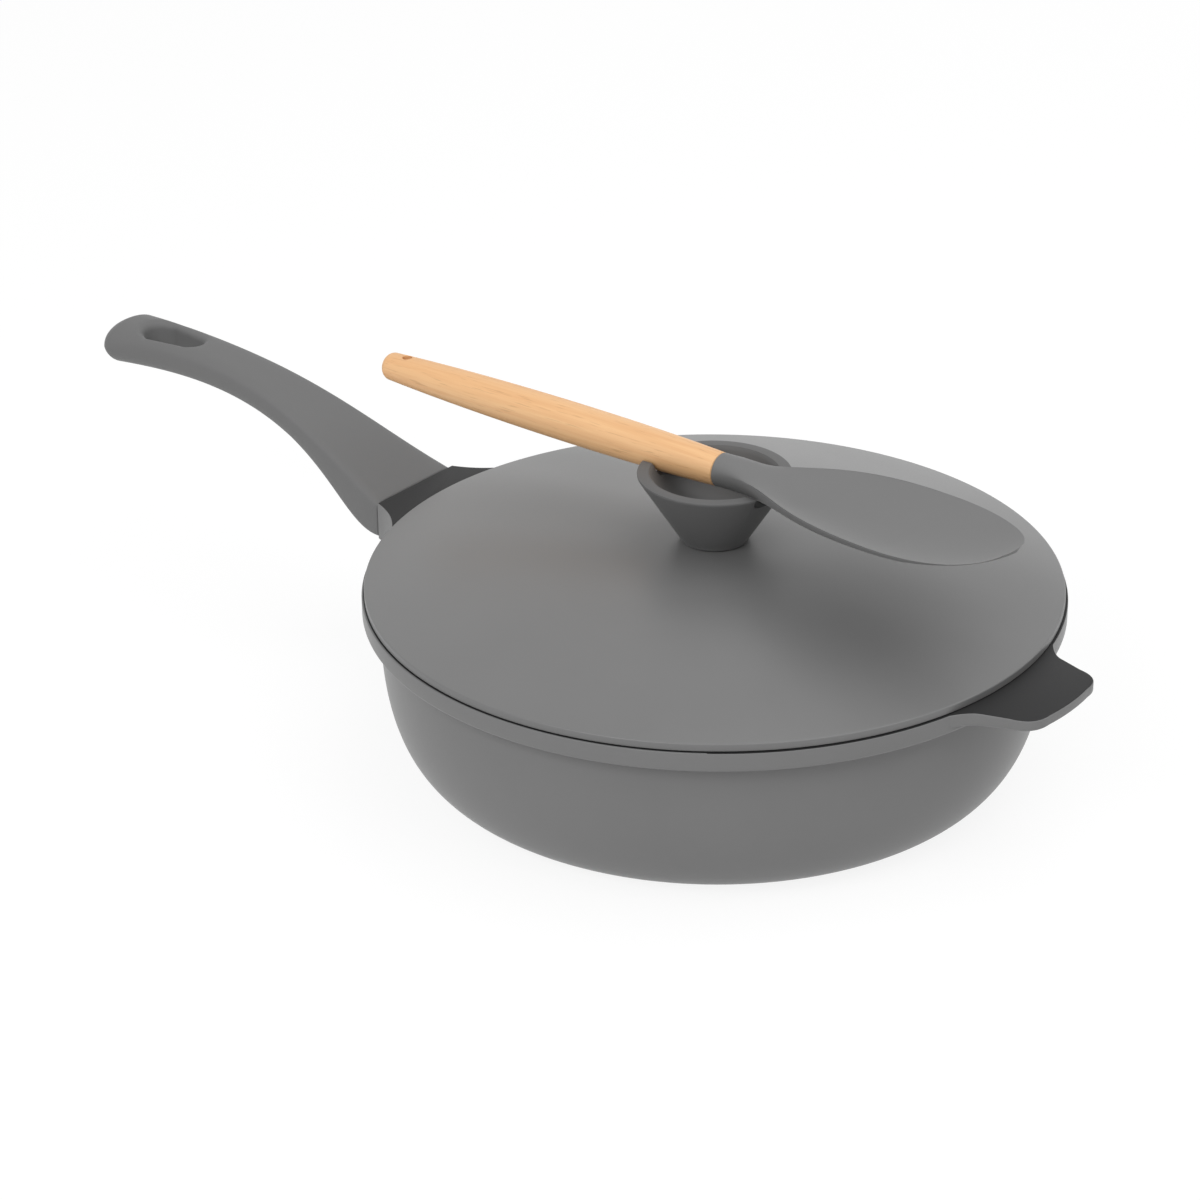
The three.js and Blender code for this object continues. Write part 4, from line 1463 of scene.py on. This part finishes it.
@dataclass
class Knob:
    """Cone-shaped cup on a short neck, with a notch for the spoon on either side."""

    spoon: "Spoon"
    foot: float = field(default_factory=lambda: box_bottom("lid_knob"))
    top: float = field(default_factory=lambda: box_top("lid_knob"))
    radius: float = field(default_factory=lambda: box_half_width("lid_knob"))
    rim_width: float = 5.6 * MM
    rim_round: float = 0.6 * MM
    neck_height: float = 1.5 * MM
    neck_radius: float = 14.7 * MM
    neck_round: float = 0.7 * MM
    foot_radius: float = 14.4 * MM
    cup_depth: float = 17 * MM
    floor_radius: float = 6.5 * MM
    floor_sweep: float = 9 * MM
    wall_sweep: float = 7 * MM
    wall_lean: float = 3 * MM
    notch_clearance: float = 0.6 * MM
    notch_corner: float = 5 * MM
    insert_radius: float = 4.3 * MM
    insert_depth: float = 7.8 * MM
    neck_steps: int = 6
    rim_steps: int = 4
    cup_steps: int = 40
    notch_steps: int = 10
    facets: int = 192

    def section(self) -> list[Point]:
        """Section of the knob from the insert's bore round to the cup's floor.

        Returns:
            Points of radius and height.
        """
        inner = self.radius - self.rim_width
        floor = self.top - self.cup_depth
        cup = Sweep((self.floor_radius, floor), (self.floor_radius + self.floor_sweep, floor),
                    (inner - self.wall_lean, self.top - self.wall_sweep), (inner, self.top))
        neck = (self.neck_radius, self.foot + self.neck_height)
        lean = (self.radius - neck[0], self.top - neck[1])
        share = self.neck_round / math.hypot(*lean)
        bend_end = (neck[0] + lean[0] * share, neck[1] + lean[1] * share)
        drop = self.neck_round / self.neck_height
        bend_start = (neck[0] + (self.foot_radius - neck[0]) * drop, neck[1] - self.neck_round)
        rim = self.rim_round
        return [
            (0, self.foot + self.insert_depth),
            (self.insert_radius, self.foot + self.insert_depth),
            (self.insert_radius, self.foot),
            (self.foot_radius - rim, self.foot),
            (self.foot_radius, self.foot + rim),
            bend_start,
            *bow(bend_start, neck, bend_end, self.neck_steps),
            (self.radius - rim / 2, self.top - 2 * rim),
            *bow((self.radius - rim / 2, self.top - 2 * rim), (self.radius, self.top),
                 (self.radius - rim, self.top), self.rim_steps),
            (inner + rim, self.top),
            *[p for p in reversed(cup.points(self.cup_steps)) if p[1] < self.top - rim],
            (0, floor),
        ]

    def notch(self, side: int) -> bpy.types.Object:
        """The trough that a notch takes out of the rim.

        Args:
            side: 1 towards the helper handle and -1 towards the long handle.

        Returns:
            The solid that is cut away.
        """
        rims = (self.radius, self.radius - self.rim_width)
        floor = min(self.spoon.underside(side * r) for r in rims) - SEAT_GAP
        half = max(self.spoon.half_width(side * r) for r in rims) + self.notch_clearance
        c = self.notch_corner
        outline = [
            (-half, self.top + CUT_MARGIN),
            *arc((c - half, floor + c), c, 180, 270, self.notch_steps),
            *arc((half - c, floor + c), c, 270, 360, self.notch_steps),
            (half, self.top + CUT_MARGIN),
        ]
        return extruded("notch", [Vector((0, y, z)) for y, z in outline],
                        Vector((side * (self.radius + CUT_MARGIN), 0, 0)))

    def build(self, finishes: FinishSet) -> None:
        """Makes and dresses the knob.

        Args:
            finishes: The object's materials.
        """
        knob = turned("knob_cup", self.section(), self.facets)
        work(knob, self.notch(-1), Joinery.CUT)
        work(knob, self.notch(1), Joinery.CUT)
        smooth(knob)
        dress(knob, finishes.knob)
        seat(knob, Body.LID, Slot.KNOB_GRIP, "lid_knob")


# Spoon


@dataclass
class Spoon:
    """Turned beech handle and silicone head, along their own axis from the joint between them."""

    knob_top: float = field(default_factory=lambda: box_top("lid_knob"))
    axis_above_knob: float = 2 * MM
    tilt: float = math.radians(0.2)
    joint_x: float = 3.1 * MM
    handle_length: float = 180 * MM
    joint_radius: float = 7.1 * MM
    belly_pulls: Pulls = ((-120 * MM, 9.5 * MM), (-40 * MM, 9.2 * MM))
    end_radius: float = 5.9 * MM
    end_cap: float = 4.2 * MM
    cap_bluntness: float = 0.8
    hole_radius: float = 2.2 * MM
    hole_from_end: float = 12 * MM
    hole_lip: float = 0.5 * MM
    hole_lip_depth: float = 1.25 * MM
    joint_chamfer: float = 0.35 * MM
    head_length: float = 141.2 * MM
    bowl_half_width: float = 30.3 * MM
    flare_starts: Point = (35 * MM, 37 * MM)
    edge_pulls: Pulls = ((45 * MM, 11.2 * MM), (121.5 * MM, -3.1 * MM))
    under_pulls: Pulls = ((40 * MM, -6.2 * MM), (120 * MM, -11.3 * MM))
    bowl_tip: float = 50.2 * MM
    tip_power: float = 2.2
    tip_root: float = 0.53
    tip_rise: float = 5.8 * MM
    tip_thickness: float = 1.4 * MM
    bowl_depth: float = 6.5 * MM
    dish_fade: float = 0.7
    under_tuck: float = 0.15
    tip_tuck: float = 0.9
    tuck_start: float = 100 * MM
    dish_start: float = 6 * MM
    dish_full: float = 48 * MM
    rim_round: float = 0.5 * MM
    rim_tolerance: float = 0.02 * MM
    unrounded_tip: float = 1 * MM
    core_radius: float = 2.5 * MM
    core_in_wood: float = 40 * MM
    core_in_head: float = 17 * MM
    cap_rings: int = 14
    handle_rings: int = 40
    handle_points: int = 64
    hole_facets: int = 48
    bore_facets: int = 24
    neck_rings: int = 60
    tip_rings: int = 30
    head_points: int = 96
    head_crease: float = 40

    def __post_init__(self) -> None:
        """Draws side view and plan: distance from the joint against height or half width."""
        r = self.joint_radius
        wide = self.bowl_half_width
        leave, arrive = self.flare_starts
        tip_under = self.tip_rise - self.tip_thickness
        self.belly = Sweep((-self.handle_length, self.end_radius), *self.belly_pulls, (0, r))
        self.widest = self.head_length - self.bowl_tip
        self.flare = Sweep((0, r), (leave, r), (arrive, wide), (self.widest, wide))
        self.edge = Sweep((0, 0), *self.edge_pulls, (self.head_length, self.tip_rise))
        self.under = Sweep((0, -r), *self.under_pulls, (self.head_length, tip_under))

    @property
    def place(self) -> Matrix:
        """From the spoon's own axis to the object's frame."""
        height = self.knob_top + self.axis_rise(self.joint_x)
        return Matrix.Translation((self.joint_x, 0, height)) @ Matrix.Rotation(self.tilt, 4, "Y")

    def head_half_width(self, along: float) -> float:
        """Half width of the head at a distance from the joint.

        Args:
            along: The distance.

        Returns:
            The half width.
        """
        if along <= self.widest:
            return self.flare.at(along)
        into_tip = (along - self.widest) / self.bowl_tip
        return self.bowl_half_width * max(0.0, 1 - into_tip ** self.tip_power) ** self.tip_root

    def axis_rise(self, x: float) -> float:
        """Height of the spoon's axis over the knob's top, at a place along X."""
        return self.axis_above_knob - x * math.tan(self.tilt)

    def underside(self, x: float) -> float:
        """Height of the spoon's underside at a place along X.

        Args:
            x: The place.

        Returns:
            The height in the object's frame.
        """
        axis = self.knob_top + self.axis_rise(x)
        along = (x - self.joint_x) / math.cos(self.tilt)
        return axis - self.belly.at(along) if along < 0 else axis + self.under.at(along)

    def half_width(self, x: float) -> float:
        """Half width of the spoon level with the knob's top, at a place along X.

        Args:
            x: The place.

        Returns:
            The half width.
        """
        rise = self.axis_rise(x)
        along = (x - self.joint_x) / math.cos(self.tilt)
        if along < 0:
            return math.sqrt(self.belly.at(along) ** 2 - rise ** 2)
        edge = self.edge.at(along)
        depth_share = (edge + rise) / (edge - self.under.at(along))
        return self.head_half_width(along) * math.sqrt(max(0.0, 1 - depth_share ** 2))

    def head_point(self, along: float, angle: float) -> Vector:
        """One point of the head's skin: round at the neck, a shallow dish along the bowl.

        Args:
            along: Distance from the joint.
            angle: Angle round the section.

        Returns:
            The point on the spoon's own axis.
        """
        dished = smooth_step(along, self.dish_start, self.dish_full)
        edge = self.edge.at(along)
        under = self.under.at(along)
        to_tip = (self.head_length - along) / self.bowl_tip
        depth = self.bowl_depth * max(0.0, min(1.0, to_tip)) ** self.dish_fade
        middle = self.joint_radius + (edge - depth - self.joint_radius) * dished
        lift = abs(math.sin(angle))
        near_tip = smooth_step(along, self.tuck_start, self.head_length)
        tuck = self.under_tuck * dished + self.tip_tuck * near_tip
        if math.sin(angle) > 0:
            height = edge + (middle - edge) * lift ** (1 + dished)
        else:
            height = edge + (under - edge) * lift ** (1 + tuck)
        return Vector((along, self.head_half_width(along) * math.cos(angle), height))

    def core_bore(self) -> bpy.types.Object:
        """The bore for the core that joins wood and head.

        Returns:
            The solid that is cut away.
        """
        radius = self.core_radius + SEAT_GAP
        start, end = -self.core_in_wood - SEAT_GAP, self.core_in_head + SEAT_GAP
        circle = [Vector((start, y, z)) for y, z in round_points(radius, self.bore_facets)]
        return extruded("core_bore", circle, Vector((end - start, 0, 0)))

    def build_handle(self, finishes: FinishSet) -> None:
        """Makes and dresses the wooden handle.

        Args:
            finishes: The object's materials.
        """
        start = -self.handle_length + self.end_cap
        joint = -SEAT_GAP / 2
        chamfer_start = joint - self.joint_chamfer
        cap_radius = self.belly.at(start)
        cap_angles = [QUARTER_TURN * i / self.cap_rings for i in range(1, self.cap_rings + 1)]
        side = [start + (chamfer_start - start) * i / self.handle_rings
                for i in range(1, self.handle_rings + 1)]
        rings = [
            *[(start - self.end_cap * math.cos(a), cap_radius * math.sin(a) ** self.cap_bluntness)
              for a in cap_angles],
            *[(x, self.belly.at(x)) for x in side],
            (joint, self.joint_radius - self.joint_chamfer),
        ]
        wood = lofted("wooden_handle", len(rings), self.handle_points, lambda ring, a: Vector(
            (rings[ring][0], rings[ring][1] * math.cos(a), rings[ring][1] * math.sin(a))))
        reach = 2 * self.joint_radius
        flare = self.belly.at(start + self.hole_from_end) + self.hole_lip
        wide = self.hole_radius + 2 * self.hole_lip
        narrow = flare - self.hole_lip_depth
        hole = turned("hanging_hole", [
            (0, -reach), (wide, -reach), (wide, -flare), (self.hole_radius, -narrow),
            (self.hole_radius, narrow), (wide, flare), (wide, reach), (0, reach),
        ], self.hole_facets)
        hole.data.transform(Matrix.Translation((self.hole_from_end - self.handle_length, 0, 0)))
        work(wood, hole, Joinery.CUT)
        work(wood, self.core_bore(), Joinery.CUT)
        wood.data.transform(self.place)
        smooth(wood)
        dress(wood, finishes.beech)
        seat(wood, Body.SPOON, Slot.BEECH, "spoon_handle")

    def build_head(self, finishes: FinishSet) -> None:
        """Makes and dresses the silicone head.

        Args:
            finishes: The object's materials.
        """
        start = SEAT_GAP / 2
        even = [start + (self.widest - start) * i / self.neck_rings for i in range(self.neck_rings)]
        tip = [self.widest + self.bowl_tip * math.sin(QUARTER_TURN * TIP_SHARE * i / self.tip_rings)
               for i in range(self.tip_rings + 1)]
        stations = [*even, *tip]
        head = lofted("silicone_head", len(stations), self.head_points,
                      lambda ring, angle: self.head_point(stations[ring], angle))
        work(head, self.core_bore(), Joinery.CUT)
        soften(head, self.is_rim, self.rim_round)
        head.data.transform(self.place)
        smooth(head, self.head_crease)
        dress(head, finishes.silicone)
        seat(head, Body.SPOON, Slot.SILICONE, "spoon_head")

    def is_rim(self, a: Vector, b: Vector) -> bool:
        """Whether an edge runs along the rim of the bowl.

        Args:
            a: One end of the edge.
            b: Its other end.

        Returns:
            Whether it is rounded.
        """
        if min(a.x, b.x) < self.dish_full / 2 or max(a.x, b.x) > self.head_length - self.unrounded_tip:
            return False
        return all(abs(abs(p.y) - self.head_half_width(p.x)) < self.rim_tolerance for p in (a, b))


# Studio


@dataclass(frozen=True)
class Softbox:
    """A soft rectangular lamp: its place, the point that it faces, its size and its power in watts."""

    name: str
    place: Place
    target: Place
    size: Point
    power: float

    def hang(self) -> None:
        """Adds the lamp to the scene."""
        data = bpy.data.lights.new(self.name, "AREA")
        data.shape = "RECTANGLE"
        data.size, data.size_y = self.size
        data.energy = self.power
        lamp = bpy.data.objects.new(self.name, data)
        bpy.context.scene.collection.objects.link(lamp)
        lamp.location = self.place
        facing = Vector(self.target) - Vector(self.place)
        lamp.rotation_euler = facing.to_track_quat("-Z", "Y").to_euler()


@dataclass
class Studio:
    """White floor, soft light and the camera of the photograph."""

    camera_place: Place = (0.79447, -1.08551, 0.741)
    camera_right: Place = (0.78775, 0.61596, -0.00654)
    camera_down: Place = (0.27059, -0.35556, -0.89463)
    camera_look: Place = (-0.55338, 0.70298, -0.44676)
    lens: float = 108.73
    sensor: float = 36.0
    floor_size: float = 30.0
    world_level: float = 0.44
    floor_colour: Colour = (0.92, 0.92, 0.92)
    floor_share: float = 0.82
    floor_glow: float = 1.06
    softboxes: tuple[Softbox, ...] = (
        Softbox("overhead_softbox", (0.58, 0.2, 1.6), (0, 0, 0.08), (1.8, 1.8), 12.8),
        Softbox("back_softbox", (-0.6, 2.0, 0.42), (0, 0, 0.08), (1.8, 0.5), 2),
        Softbox("front_softbox", (0.1, -1.9, 1.55), (0, 0, 0.05), (1.6, 0.9), 19.4),
    )

    def build(self) -> None:
        """Sets the stage."""
        self.view()
        self.world()
        self.floor()
        for softbox in self.softboxes:
            softbox.hang()
        bpy.context.scene.view_settings.view_transform = "Standard"

    def view(self) -> None:
        """Places the camera."""
        data = bpy.data.cameras.new("product_camera")
        data.lens = self.lens
        data.sensor_width = self.sensor
        camera = bpy.data.objects.new("product_camera", data)
        bpy.context.scene.collection.objects.link(camera)
        right, down, look = (Vector(v).normalized() for v in
                             (self.camera_right, self.camera_down, self.camera_look))
        turn = Matrix((right, -down, -look)).transposed().to_4x4()
        camera.matrix_world = Matrix.Translation(self.camera_place) @ turn
        bpy.context.scene.camera = camera

    @staticmethod
    def seen(bench: NodeBench) -> Signal:
        """Tells what is seen from what only lights the scene.

        Args:
            bench: The bench of the node tree.

        Returns:
            1 for what the camera sees, straight, by reflection or through glass, and else 0.
        """
        camera = bench.add("ShaderNodeLightPath", output="Is Camera Ray")
        outputs = camera.socket.node.outputs
        mirrored_or_clear = bench.add("ShaderNodeMath", {"operation": "MAXIMUM"}, {
            0: Signal(bench, outputs["Is Glossy Ray"]), 1: Signal(bench, outputs["Is Transmission Ray"])})
        return bench.add("ShaderNodeMath", {"operation": "MAXIMUM"}, {0: camera, 1: mirrored_or_clear})

    def world(self) -> None:
        """White to the camera and in reflections, softer as a light."""
        world = bpy.data.worlds.new("studio_world")
        bpy.context.scene.world = world
        world.use_nodes = True
        bench = NodeBench(world.node_tree)
        level = self.seen(bench) * (1 - self.world_level) + self.world_level
        back = bench.add("ShaderNodeBackground", None, {"Color": (1, 1, 1, 1), "Strength": level})
        bench.add("ShaderNodeOutputWorld", None, {"Surface": back})

    def floor(self) -> None:
        """A white floor that keeps a faint shadow."""
        deselect_all()
        bpy.ops.mesh.primitive_plane_add(size=self.floor_size)
        floor = bpy.context.active_object
        floor.name = "floor"
        material = bpy.data.materials.new("white_floor")
        material.use_nodes = True
        bench = NodeBench(material.node_tree)
        matte = bench.add("ShaderNodeBsdfDiffuse", None, {"Color": (*self.floor_colour, 1)})
        glow = bench.add("ShaderNodeEmission", None, {"Color": (1, 1, 1, 1), "Strength": self.floor_glow})
        mixed = bench.add("ShaderNodeMixShader", None,
                          {0: self.seen(bench) * self.floor_share, 1: matte, 2: glow})
        bench.add("ShaderNodeOutputMaterial", None, {"Surface": mixed})
        dress(floor, material)


def dress_inner_pieces(finishes: FinishSet) -> None:
    """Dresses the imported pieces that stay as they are, sealed inside others.

    Args:
        finishes: The object's materials.
    """
    for node, material in (("knob_insert", finishes.brass), ("spoon_core", finishes.nylon)):
        dress(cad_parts[node], material)
        log.info("%s: packed piece, dressed", node)


def main() -> None:
    """Builds the pan, the lid, the spoon and the stage."""
    logging.basicConfig(level=logging.INFO, format="%(name)s: %(message)s")
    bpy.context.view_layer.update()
    finishes = FinishSet()
    pan = PanCasting()
    pan.build(finishes)
    LongHandle(pan).build(finishes)
    Screw("handle_screw", Body.PAN).build(finishes)
    Washer("handle_spring_washer", Body.PAN, slit=SPRING_SLIT).build(finishes)
    Lid(pan).build(finishes)
    spoon = Spoon()
    Knob(spoon).build(finishes)
    Screw("knob_screw", Body.LID).build(finishes)
    Washer("knob_washer", Body.LID).build(finishes)
    Washer("knob_spring_washer", Body.LID, slit=SPRING_SLIT).build(finishes)
    spoon.build_handle(finishes)
    spoon.build_head(finishes)
    dress_inner_pieces(finishes)
    Studio().build()


if __name__ == "__main__":
    main()
